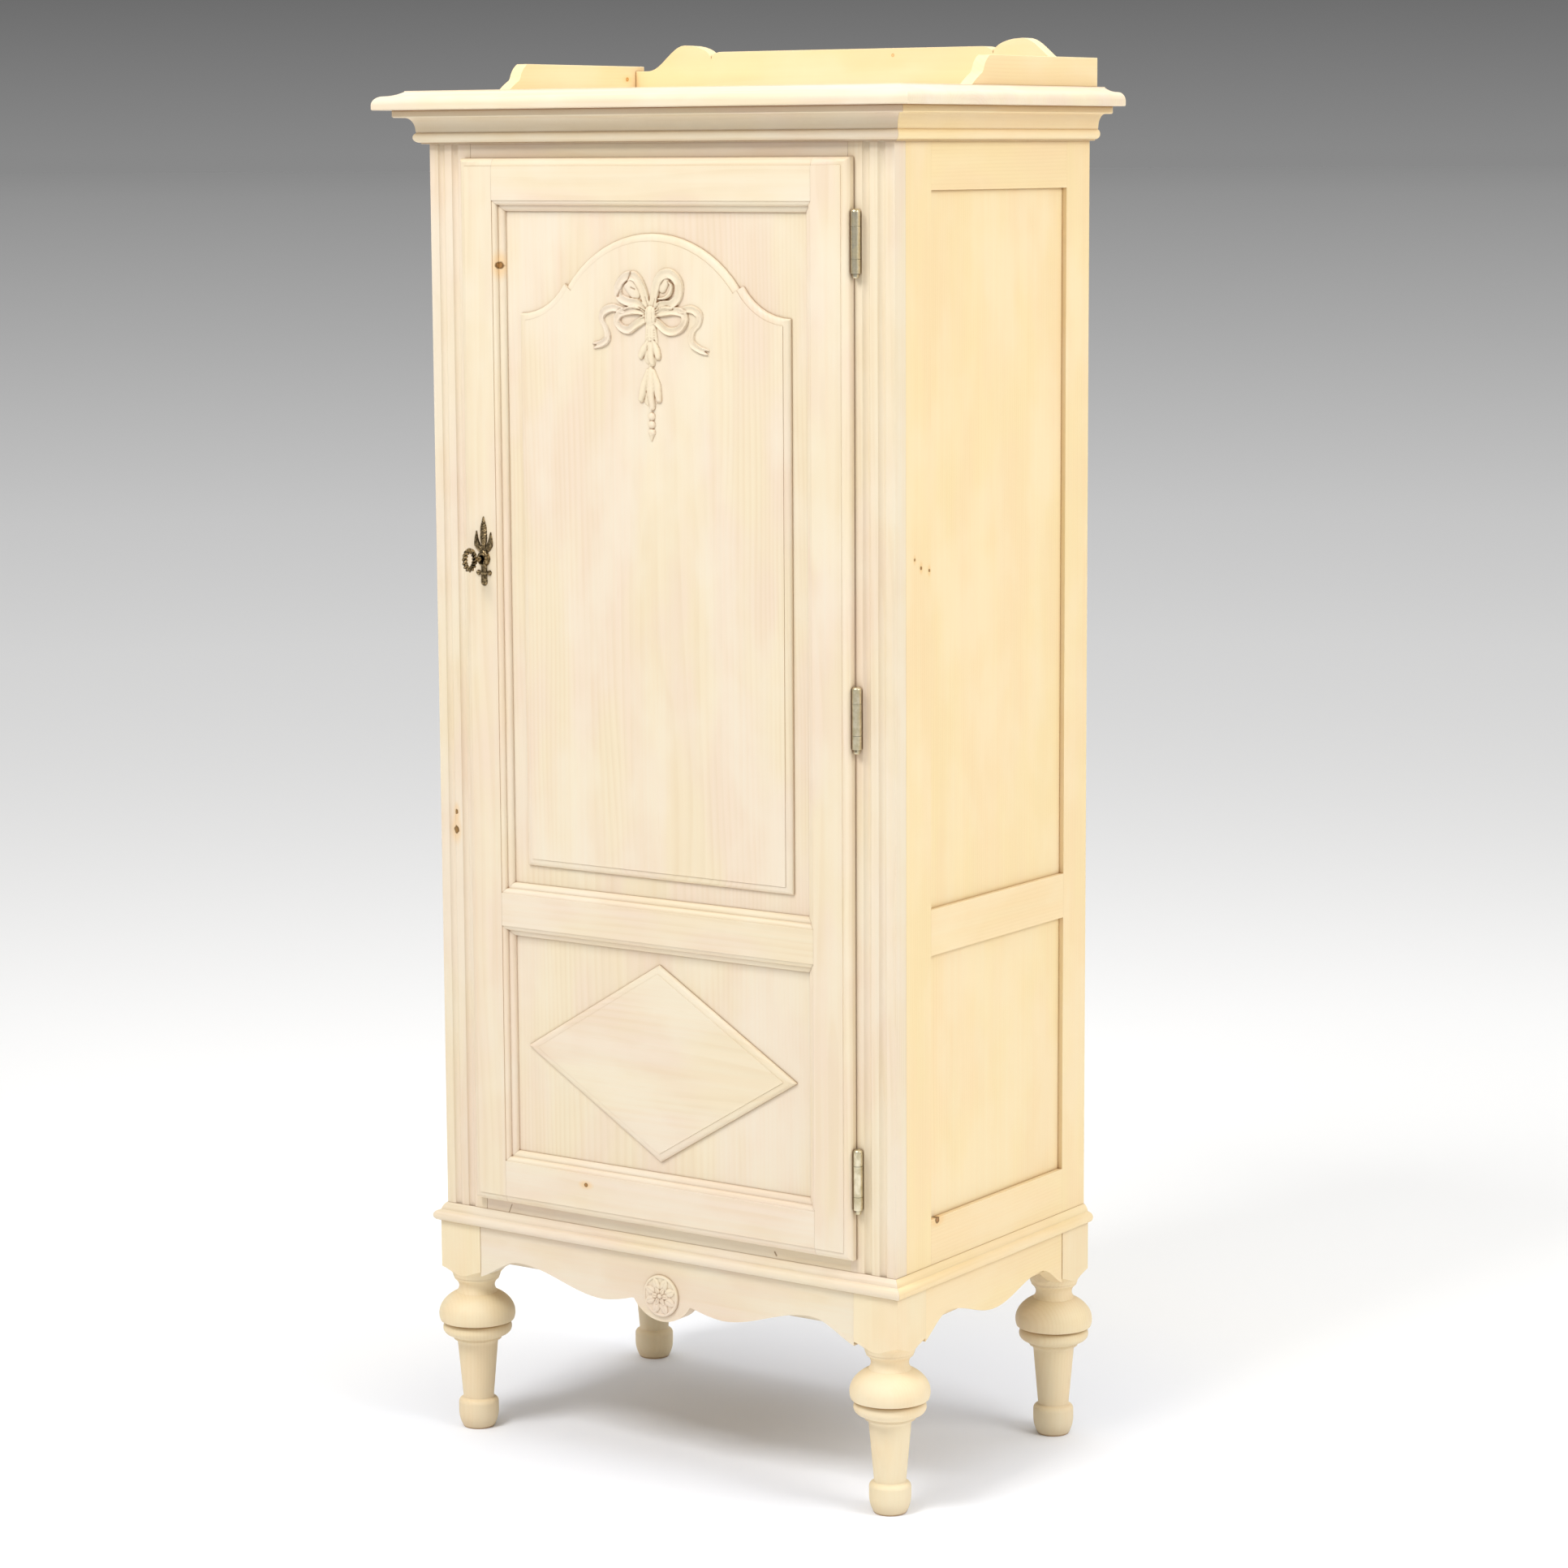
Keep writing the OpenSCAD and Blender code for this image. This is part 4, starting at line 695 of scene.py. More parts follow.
@dataclass(frozen=True)
class Relief:
    """A low carving, worked from overlapping strokes on a flat ground that faces -Y."""

    strokes: tuple[Stroke, ...]
    cell_mm: float = 0.65
    sunk_mm: float = 0.3
    back_mm: float = 0.8

    def mesh(self, name: str, centre: Place) -> Mesh:
        """Carve the strokes and close the carving behind.

        Args:
            name: the mesh's name.
            centre: where the strokes are measured from, on the ground.

        Returns:
            A closed mesh whose edges dip under the ground.
        """
        raised = [s for s in self.strokes if s.section not in (Section.GROOVE, Section.CUT)]
        reach = max(max(s.half_mm) for s in raised) + 1
        spread = np.vstack([s.path() for s in raised])
        low, high = spread.min(axis=0) - reach, spread.max(axis=0) + reach
        x, z = np.meshgrid(*(np.arange(low[i], high[i], self.cell_mm) for i in (0, 1)), indexing="ij")
        ground = np.full(x.shape, -9.0)
        for stroke in self.strokes:
            stroke.carve(x, z, ground)
        live = ground > 0
        cells = live[:-1, :-1] | live[1:, :-1] | live[:-1, 1:] | live[1:, 1:]
        used = np.zeros(x.shape, bool)
        for i, j in ((0, 0), (1, 0), (0, 1), (1, 1)):
            used[i:used.shape[0] - 1 + i, j:used.shape[1] - 1 + j] |= cells
        number = np.full(x.shape, -1)
        number[used] = np.arange(used.sum())
        tall = np.maximum(ground[used], -self.sunk_mm)
        across, up = centre[0] + x[used] * MM, centre[2] + z[used] * MM
        front = np.column_stack([across, centre[1] - tall * MM, up])
        back = np.column_stack([across, np.full(len(tall), centre[1] + self.back_mm * MM), up])
        mesh = bpy.data.meshes.new(name)
        mesh.from_pydata(np.vstack([front, back]).tolist(), [], self._faces(cells, number, len(tall)))
        return mesh

    @staticmethod
    def _faces(cells: np.ndarray, number: np.ndarray, count: int) -> list[list[int]]:
        """Lay faces over the carving's front, over its back and round its edge.

        Args:
            cells: which squares of the grid belong to it.
            number: each grid point's vertex on the front.
            count: how much higher the same point's vertex on the back is numbered.

        Returns:
            The faces, each with its normal outward.
        """
        i, j = np.nonzero(cells)
        a, b, c, d = number[i, j], number[i + 1, j], number[i + 1, j + 1], number[i, j + 1]
        faces = [np.column_stack([a, b, c, d]), np.column_stack([d, c, b, a]) + count]
        framed = np.pad(cells, 1)
        for step, first, second in (((0, -1), b, a), ((1, 0), c, b), ((0, 1), d, c), ((-1, 0), a, d)):
            rim = ~framed[i + 1 + step[0], j + 1 + step[1]]
            p, q = first[rim], second[rim]
            faces.append(np.column_stack([p, q, q + count, p + count]))
        return np.vstack(faces).tolist()


def start_tree(name: str, inputs: dict[str, str]) -> tuple[Tree, Sequence[Socket]]:
    """Start a Geometry Nodes tree with named inputs.

    Args:
        name: the tree's name.
        inputs: each input's socket kind, by its name.

    Returns:
        The tree, and its inputs as they come into it.
    """
    tree = bpy.data.node_groups.new(name, "GeometryNodeTree")
    for way in ("OUTPUT", "INPUT"):
        tree.interface.new_socket("Geometry", in_out=way, socket_type="NodeSocketGeometry")
    for label, kind in inputs.items():
        tree.interface.new_socket(label, in_out="INPUT", socket_type="NodeSocket" + kind)
    return tree, add_node(tree, "NodeGroupInput").node.outputs


def finish_tree(tree: Tree, shape: Socket, material: Socket) -> Tree:
    """End a Geometry Nodes tree by making its instances real and giving them their material.

    Args:
        tree: the tree.
        shape: the geometry that it has made.
        material: the material.

    Returns:
        The same tree.
    """
    real = add_node(tree, "GeometryNodeRealizeInstances", shape)
    dressed = add_node(tree, "GeometryNodeSetMaterial", real, more={"Material": material})
    add_node(tree, "NodeGroupOutput", dressed)
    return tree


def grown(name: str, mesh: Mesh, tree: Tree, values: dict[str, object]) -> Piece:
    """Run a Geometry Nodes tree on a mesh and keep its result as a plain piece.

    Args:
        name: the piece's name.
        mesh: the mesh that the tree starts from.
        tree: the tree.
        values: the value of each named input.

    Returns:
        The piece.
    """
    piece = link(name, mesh)
    modifier = piece.modifiers.new(tree.name, "NODES")
    modifier.node_group = tree
    for item in tree.interface.items_tree:
        if item.in_out == "INPUT" and item.name in values:
            modifier[item.identifier] = values[item.name]
    return baked(piece)


def rope_ring_tree() -> Tree:
    """Build the tree of an oval ring of two strands twisted round each other, in the YZ plane.

    Returns:
        The tree.
    """
    tree, given = start_tree("rope_ring", {
        "Half Depth": "Float", "Half Height": "Float", "Strand Radius": "Float", "Strand Offset": "Float",
        "Turns": "Float", "Centre": "Vector", "Material": "Material"})
    add = partial(add_node, tree)
    circle = add("GeometryNodeCurvePrimitiveCircle", more={"Resolution": 200, "Radius": 1.0})
    size = add("CombineXYZ", given["Half Height"], given["Half Depth"], 1.0)
    oval = add("GeometryNodeTransform", circle, more={"Scale": size})
    turns = add("Math", add("GeometryNodeSplineParameter"), given["Turns"], operation="MULTIPLY")
    twist = add("Math", turns, math.tau, operation="MULTIPLY")
    tilted = add("GeometryNodeSetCurveTilt", oval, more={"Tilt": twist})
    thick = given["Strand Radius"]
    strand = add("GeometryNodeCurvePrimitiveCircle", more={"Resolution": 14, "Radius": thick})
    pair = add("GeometryNodeJoinGeometry")
    for sign in (-1.0, 1.0):
        off = add("CombineXYZ", add("Math", given["Strand Offset"], sign, operation="MULTIPLY"))
        moved = add("GeometryNodeTransform", strand, more={"Translation": off})
        tree.links.new(moved, pair.node.inputs[0])
    rope = add("GeometryNodeCurveToMesh", tilted, pair)
    stood = add("GeometryNodeTransform", rope,
                more={"Rotation": (0, math.pi / 2, 0), "Translation": given["Centre"]})
    return finish_tree(tree, stood, given["Material"])


def screw_heads_tree() -> Tree:
    """Build the tree that sets a slotted screw head on each point, along the point's facing.

    Returns:
        The tree.
    """
    tree, given = start_tree("screw_heads", {
        "Head Radius": "Float", "Head Depth": "Float", "Slot Width": "Float", "Seed": "Int",
        "Material": "Material"})
    add = partial(add_node, tree)
    radius, depth = given["Head Radius"], given["Head Depth"]
    head = add("GeometryNodeMeshCylinder", more={"Vertices": 28, "Radius": radius, "Depth": depth})
    length = add("Math", radius, 3.0, operation="MULTIPLY")
    slot = add("GeometryNodeMeshCube", add("CombineXYZ", length, given["Slot Width"], depth))
    lift = add("CombineXYZ", 0.0, 0.0, add("Math", depth, 0.6, operation="MULTIPLY"))
    raised = add("GeometryNodeTransform", slot, more={"Translation": lift})
    cut = add("GeometryNodeMeshBoolean", head, raised, operation="DIFFERENCE")
    facing = add("GeometryNodeInputNamedAttribute", "facing", data_type="FLOAT_VECTOR")
    turn = add("FunctionNodeAlignRotationToVector", more={"Vector": facing}, axis="Z")
    heads = add("GeometryNodeInstanceOnPoints", given["Geometry"], more={"Instance": cut, "Rotation": turn})
    chance = add("FunctionNodeRandomValue", out=1, more={2: 0.0, 3: math.pi, 8: given["Seed"]},
                 data_type="FLOAT")
    spin = add("CombineXYZ", 0.0, 0.0, chance)
    spun = add("GeometryNodeRotateInstances", heads, more={"Rotation": spin})
    return finish_tree(tree, spun, given["Material"])


@dataclass
class SubAssembly:
    """Pieces that are made and finished together."""

    body: str = "case"
    made: list[Piece] = field(default_factory=list)
    marks: dict[str, tuple[Knot | Crack, ...]] = field(default_factory=dict)

    def keep(self, piece: Piece, finish: LimedPine | AgedMetal, *stands_for: str, board: Board | None = None,
             body: str | None = None) -> None:
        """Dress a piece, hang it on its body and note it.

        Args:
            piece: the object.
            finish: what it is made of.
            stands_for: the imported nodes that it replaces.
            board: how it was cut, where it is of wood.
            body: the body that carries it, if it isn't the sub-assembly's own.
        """
        material = finish.material(board, piece) if board else finish.material()
        piece.data.materials.clear()
        piece.data.materials.append(material)
        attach(piece, body or self.body)
        if stands_for:
            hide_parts(*stands_for)
        self.made.append(piece)
        log.info("%s: %d faces, %s", piece.name, len(piece.data.polygons), material.name)

    def eased(self, node: str, ease_mm: float, angle: float = 32) -> Piece:
        """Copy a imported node, join its faces and ease its edges, as sandpaper does.

        Args:
            node: the node's name.
            ease_mm: how far each edge is taken back.
            angle: the angle in degrees past which an edge is eased.

        Returns:
            The eased copy.
        """
        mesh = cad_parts[node].data.copy()
        with worked(mesh) as shape:
            bmesh.ops.remove_doubles(shape, verts=shape.verts, dist=0.01 * MM)
            bmesh.ops.dissolve_limit(
                shape, angle_limit=math.radians(0.4), verts=shape.verts, edges=shape.edges)
        piece = link(node + "_finished", mesh)
        if ease_mm:
            bevel = piece.modifiers.new("ease", "BEVEL")
            bevel.limit_method = "ANGLE"
            bevel.angle_limit = math.radians(angle)
            bevel.width = ease_mm * MM
            bevel.segments = 2
            baked(piece)
        shade(piece, angle)
        if ease_mm:
            weighted = piece.modifiers.new("flats", "WEIGHTED_NORMAL")
            weighted.keep_sharp = True
            baked(piece)
        return piece

    def boards(self, pine: LimedPine, grain: Grain, number: int, ease_mm: float, *nodes: str,
               **cut: float) -> None:
        """Finish wooden nodes of one kind, each with its own place in the log.

        Args:
            pine: their finish.
            grain: the way that their fibres run.
            number: the first one's number.
            ease_mm: how far their edges are eased.
            nodes: their names.
            cut: what else they have in common as boards.
        """
        for place, node in enumerate(nodes):
            board = Board(grain, number + place, self.marks.get(node, ()), **cut)
            self.keep(self.eased(node, ease_mm), pine, node, board=board)


@dataclass(frozen=True)
class PetalRing:
    """Carved petals round a middle, the first one led on by a share of the step to the next.

    A petal runs from the first of the two ends to the second, both measured from the middle.
    """

    count: int
    lead: float
    ends_mm: Point
    half_mm: tuple[float, ...]
    rise_mm: tuple[float, ...]

    def petals(self) -> Iterator[Stroke]:
        """Draw the petals.

        Yields:
            Each petal as a stroke.
        """
        root, tip = self.ends_mm
        for i in range(self.count):
            turn = math.tau * (i + self.lead) / self.count
            line = tuple((math.cos(turn) * r, math.sin(turn) * r) for r in (root, (root + tip) / 2, tip))
            yield Stroke(line, self.half_mm, self.rise_mm, Section.PETAL)


@dataclass
class LegFrame(SubAssembly):
    """Four turned legs, their aprons, the rear rail and the rosette."""

    turning_ease_mm: float = 0.35
    edge_ease_mm: float = 0.9
    disc_mm: float = 3.5
    rim_mm: float = 2.0
    dish_mm: float = 0.8
    button_mm: float = 3.3
    rings: tuple[PetalRing, ...] = (
        PetalRing(8, 0.5, (8.5, 19.6), (2.4, 5.4, 5.0, 2.6), (1.0, 2.3, 2.0, 1.2)),
        PetalRing(6, 0.0, (3.0, 9.4), (1.4, 3.4, 2.2), (1.6, 2.9, 2.2)))

    def build(self) -> None:
        """Make and finish the leg frame."""
        self.boards(LEG_PINE, Grain.UP, 10, self.turning_ease_mm,
                    "leg_front_left", "leg_front_right", "leg_rear_left", "leg_rear_right", figure=0.7)
        self.boards(FRONT_PINE, Grain.ACROSS, 15, self.edge_ease_mm, "front_apron")
        self.boards(SIDE_PINE, Grain.BACK, 16, self.edge_ease_mm, "left_apron", "right_apron")
        self.boards(INNER_PINE, Grain.ACROSS, 18, self.edge_ease_mm, "rear_base_rail")
        self._rosette()

    def _rosette(self) -> None:
        """Turn the rosette's dished disc and carve its petals."""
        low, high = corners("apron_rosette")
        middle, radius = (low + high) / 2, (high.x - low.x) / 2 / MM
        seat = Matrix.Translation((middle.x, high.y, middle.z)) @ Matrix.Rotation(math.pi / 2, 4, "X")
        turns = [math.pi * i / 12 for i in range(11)]
        rim = [(radius - self.rim_mm * (1 - math.cos(t)), self.disc_mm - self.rim_mm * (1 - math.sin(t)))
               for t in turns]
        floor = self.disc_mm - self.dish_mm
        disc = turned("disc", [(0, -self.dish_mm), (radius, -self.dish_mm), *rim, (0, floor)], seat, 96)
        petals = [petal for ring in self.rings for petal in ring.petals()]
        button = Stroke(((0, 0),), (self.button_mm,), (3.2,), Section.ROUND)
        centre = (middle.x, high.y - floor * MM, middle.z)
        carved = Relief((*petals, button), cell_mm=0.4).mesh("petals", centre)
        piece = link("apron_rosette_finished", joined("apron_rosette_finished", [disc, carved]))
        shade(piece, 40)
        # Painted shade in the rosette's hollows, a little weaker than on plain boards
        board = Board(Grain.ACROSS, 19, figure=0.3, wax=0.8)
        self.keep(piece, FRONT_PINE, "apron_rosette", board=board)


@dataclass
class Case(SubAssembly):
    """Base moulding, face frame, side frames, back, bottom and shelves."""

    board_ease_mm: float = 0.7
    frame_ease_mm: float = 0.2
    moulding_ease_mm: float = 0.3
    dark_knot: tuple[str, str, str] = ("#e2bd88", "#8a6429", "#694719")

    def build(self) -> None:
        """Make and finish the case."""
        self._mark()
        self.boards(FRONT_PINE, Grain.ACROSS, 20, self.moulding_ease_mm, "base_moulding_front")
        self.boards(SIDE_PINE, Grain.BACK, 21, self.moulding_ease_mm,
                    "base_moulding_left", "base_moulding_right")
        self.boards(FRONT_PINE, Grain.UP, 24, self.moulding_ease_mm, "face_stile_left", "face_stile_right")
        self.boards(FRONT_PINE, Grain.ACROSS, 26, self.board_ease_mm, "face_top_rail", "face_bottom_rail")
        for number, side in ((30, "left"), (37, "right")):
            for first, grain, parts in (
                    (number, Grain.UP, ("front_stile", "rear_stile", "upper_panel", "lower_panel")),
                    (number + 4, Grain.BACK, ("top_rail", "middle_rail", "bottom_rail"))):
                nodes = (f"{side}_{part}" for part in parts)
                self.boards(SIDE_PINE, grain, first, self.frame_ease_mm, *nodes, depth_axis=0)
        self.boards(INNER_PINE, Grain.UP, 50, self.board_ease_mm, "back_panel")
        self.boards(INNER_PINE, Grain.ACROSS, 51, self.board_ease_mm,
                    "bottom_board", "shelf_lower", "shelf_middle", "shelf_upper")

    def _mark(self) -> None:
        """Place the knots and cracks that show on the case."""
        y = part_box("face_stile_left")[0][1] / MM
        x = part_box("right_front_stile")[1][0] / MM
        self.marks = {
            "face_stile_left": (Knot((-297.1, y, 753.7), 3.6, *self.dark_knot),
                                Knot((-298.2, y, 732.2), 5.6, *self.dark_knot)),
            "face_bottom_rail": (Crack((-222.2, y, 288.8), (-233.1, y, 264.5), 0.9),
                                 Crack((156.2, y, 286.0), (158.4, y, 282.4), 1.5)),
            "right_bottom_rail": (Knot((x, -101.3, 328.3), 5.0),),
            "right_front_stile": (Knot((x, -147.8, 1078.8), 1.8), Knot((x, -134.8, 1068.8), 2.4),
                                  Knot((x, -118.3, 1064.7), 2.2))}


@dataclass
class Cornice(SubAssembly):
    """Top board, the moulding under it, and the gallery."""

    moulding_ease_mm: float = 0.35
    board_ease_mm: float = 0.9
    # Painted shade: a stronger painted shade in the cove under the top board, where its shadow falls
    cove_painted_shade: float = 3.4

    def build(self) -> None:
        """Make and finish the cornice and the gallery."""
        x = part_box("gallery_left")[1][0] / MM
        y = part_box("gallery_back")[0][1] / MM
        self.marks = {"gallery_left": (Knot((x, 188.6, 1609.1), 3.2, "#e8c48a", "#cf9a52", "#b07b3a"),),
                      "gallery_back": (Knot((62.1, y, 1632.3), 2.4, "#ead0a0", "#dcb780", "#c79d63"),)}
        ease_mm = self.moulding_ease_mm
        self.boards(FRONT_PINE, Grain.ACROSS, 60, ease_mm, "top_board")
        self.boards(FRONT_PINE, Grain.ACROSS, 61, ease_mm, "bed_moulding_front", wax=self.cove_painted_shade)
        for number, side in enumerate(("left", "right")):
            self.boards(SIDE_PINE, Grain.BACK, 62 + number, ease_mm,
                        f"bed_moulding_{side}", wax=self.cove_painted_shade)
            self.boards(SIDE_PINE, Grain.BACK, 64 + number, self.board_ease_mm,
                        f"gallery_{side}", depth_axis=0)
        self.boards(SIDE_PINE, Grain.ACROSS, 66, self.board_ease_mm, "gallery_back")


@dataclass
class Door(SubAssembly):
    """The door's frame, its panels, the arched field, the lozenge and the carved bow."""

    body: str = "door"
    ease_mm: float = 0.3
    bow_drop_mm: float = 91.0
    knot_depth_mm: float = 5.0

    def build(self) -> None:
        """Make and finish the door."""
        face_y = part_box("door_lock_stile")[0][1] / MM
        self.marks = {"door_lock_stile": (Knot((-212.9, face_y + self.knot_depth_mm, 1394), 5.2),),
                      "door_bottom_rail": (Knot((-101.2, face_y, 331.9), 3.2),)}
        for grain, number, nodes in (
                (Grain.UP, 70, ("door_lock_stile", "door_hinge_stile")),
                (Grain.ACROSS, 73, ("door_top_rail", "door_middle_rail", "door_bottom_rail")),
                (Grain.UP, 76, ("door_upper_panel", "door_lower_panel", "arched_field")),
                (Grain.ACROSS, 80, ("lozenge",))):
            self.boards(FRONT_PINE, grain, number, self.ease_mm, *nodes)
        self._bow()

    def _bow(self) -> None:
        """Carve the bow: ribbon tails, four loops, a knot, a stem and a chain of husks."""
        low, high = corners("arched_field")
        centre = ((low.x + high.x) / 2, low.y, high.z - self.bow_drop_mm * MM)
        piece = link("carved_bow_finished", Relief(BOW).mesh("carved_bow_finished", centre))
        shade(piece, 50)
        # Painted shade: the bow's hollows and the places under its forms get a strong painted shade
        self.keep(piece, FRONT_PINE, "carved_bow", board=Board(Grain.UP, 78, figure=0.3, wax=2.4))


TAIL = ((4.2, 5.2, 3.4, 4.8, 4.0), (2.2, 3.6, 2.0, 3.6, 2.8))
LOOP_RISE = (2.2, 3.8, 2.6, 4.2, 3.0, 4.0, 2.2)
FOLDS = ((-15, 10), (-14, 17), (-7, 21), (7, 20), (14, 15), (15, 9), (-16, 1), (-14, -4), (16, 0), (13, -6))
BOW = (
    # Tails with their notched ends
    *alike(
        Section.RIBBON,
        (((-38, 5), (-52, 8), (-64, 4), (-68, -5), (-62, -16), (-60, -26), (-68, -32), (-78, -34.5)), *TAIL),
        (((42, 6), (56, 8), (67, 2), (66, -8), (58, -17), (57, -29), (67, -36), (77, -39)), *TAIL)),
    *alike(Section.CUT, (((-84, -35.5), (-76, -34)), (2.4, 0.3), (1.0,)),
             (((83, -41), (75, -38)), (2.4, 0.3), (1.0,))),
    # Lower loops, then upper ones
    *alike(
        Section.RIBBON,
        (((-3, 2), (-16, 6), (-32, 5), (-43, 1), (-46, -7), (-40, -14), (-30, -16), (-18, -9), (-4, -2)),
         (5.0, 5.4, 4.6, 5.2, 5.0), LOOP_RISE),
        (((3, 2), (16, 4), (32, 6), (45, 3), (48, -5), (42, -13), (32, -17), (22, -16), (12, -9), (3, -3)),
         (5.0, 5.4, 4.6, 5.2, 5.0), LOOP_RISE),
        (((-3, 5), (-16, 13), (-30, 15), (-42, 20), (-44, 31), (-35, 42), (-21, 43), (-11, 31), (-3, 8)),
         (5.0, 5.6, 5.2, 6.2, 5.4), LOOP_RISE),
        (((3, 5), (16, 12), (29, 13), (39, 22), (40, 36), (30, 46), (17, 45), (9, 33), (3, 8)),
         (5.2, 5.8, 5.6, 6.4, 5.6), LOOP_RISE)),
    # What shows in the loops' eyes: their far sides, with folds and inner curls
    *alike(Section.ROUND, (((-28, 34), (-21, 25)), (9.0, 8.0), (2.4, 2.2))),
    *alike(Section.GROOVE, (((-26, 31), (-21, 29)), (1.2,), (1.5,)),
             (((-26, 49), (-31, 39), (-38, 33), (-45, 21)), (1.5,), (2.0,))),
    *alike(Section.ROUND, (((17, 31), (22, 38)), (6.0, 5.0), (2.4, 2.2)),
             (((12, 19), (21, 20), (28, 25), (30.5, 33), (26, 38)), (1.2, 2.0, 2.4, 2.0, 1.0),
              (3.4, 4.2, 4.4, 4.2, 3.4)),
             (((-14, 8), (-26, 9.5), (-36, 6.5)), (1.0, 1.6, 1.0), (3.6, 4.2, 3.4)),
             (((12, 7.5), (22, 9.5), (31, 8.5)), (1.0, 1.6, 1.0), (3.6, 4.2, 3.4))),
    # Folds that run out from the knot
    *alike(Section.GROOVE, *((((0.4 * x, 0.4 * z), (x, z)), (0.9, 0.5), (1.2, 0.8)) for x, z in FOLDS)),
    # Gathered stem
    *alike(Section.ROUND, (((0, -5), (1, -26), (0, -44)), (6.5, 9.0, 10.0), (2.4, 2.8, 2.4))),
    *alike(Section.GROOVE, (((5.5, -16), (6, -44)), (1.2,), (1.1,)),
             (((1.0, -12), (1.4, -44)), (0.9,), (0.6,)), (((-3.5, -16), (-3, -44)), (1.0,), (0.8,))),
    # Two husks, each a body, two side lobes and a middle one, with a stalk between them
    *alike(
        Section.ROUND, (((0, -34), (-0.5, -45)), (9.0, 10.0), (2.2, 1.8)),
        (((-4, -30), (-9.5, -38), (-13.5, -45)), (3.0, 4.6, 3.8), (2.6, 3.6, 3.8)),
        (((4, -30), (8, -38), (10.5, -45.5)), (3.0, 4.6, 3.8), (2.6, 3.6, 3.8)),
        (((0, -32), (1, -44), (2.5, -53)), (3.6, 5.0, 3.6), (3.0, 4.2, 4.0)),
        (((0, -56), (0, -64)), (3.0,), (2.0,)),
        (((0, -64), (-0.5, -80), (-0.5, -92)), (6.0, 9.5, 10.0), (2.2, 2.4, 1.8)),
        (((-4, -62), (-9, -78), (-13.5, -93)), (3.2, 5.6, 4.0), (2.4, 3.4, 3.8)),
        (((3, -62), (8, -78), (11, -93)), (3.2, 5.6, 4.0), (2.4, 3.4, 3.8)),
        (((0, -60), (0, -82), (2, -102)), (3.4, 6.0, 3.6), (2.6, 4.2, 4.0))),
    # Three beads and a tip, then the knot over all the ribbons
    *alike(
        Section.ROUND, *((((0.5, z),), (4.9,), (3.4,)) for z in (-112.5, -121.5, -130.5)),
        (((0, -134), (0, -139)), (3.0, 1.4), (2.4, 1.6)), (((0, -3), (0, 3.5)), (7.6,), (3.9,))),
    *alike(Section.GROOVE, (((-4, -7), (-3, 8)), (1.1,), (0.9,)), (((3.5, -7), (3, 8)), (1.1,), (0.9,))),
)
LEAF = ((2.5, 4.2, 0.8), (2.0, 3.2, 1.6))
PLATE = (
    # Bud with a twist, between two leaves
    *alike(Section.ROUND, (((0, 4), (0, 14)), (6.0, 4.0), (2.4, 2.6))),
    *alike(Section.PETAL, (((0, 6), (-9.5, 16), (-10.5, 31)), *LEAF),
           (((0, 6), (9, 16), (10.5, 30)), *LEAF)),
    *alike(Section.ROUND,
             (((0, 14), (0, 24), (0, 36), (0, 48)), (3.0, 5.0, 4.4, 0.8), (2.2, 3.4, 3.2, 1.4))),
    *alike(Section.GROOVE, *((((-5.5, z), (5.5, z + 6)), (0.8,), (1.2,)) for z in range(20, 44, 4))),
    # Ribbed tab and cross bar with a ball at each end
    *alike(Section.ROUND, (((0, -8), (0, -27)), (4.2, 4.6), (2.4, 3.0))),
    *alike(Section.GROOVE, *((((-5, z), (5, z)), (0.7,), (1.0,)) for z in (-20, -23.5, -27))),
    *alike(Section.ROUND, (((-8, -16.5), (8, -16.5)), (2.0,), (2.8,)),
             *((((x, -16.5),), (2.9,), (3.4,)) for x in (-8, 8))),
    # Plate and boss with the keyhole through them
    *alike(Section.FLAT, (((0, 0),), (9.2,), (3.5,)), (((0, 0),), (7.5,), (6.0,))),
    *alike(Section.CUT, (((0, 0),), (2.3,), (1.0,)), (((0, 0), (0, -4.4)), (1.15,), (1.0,))),
)


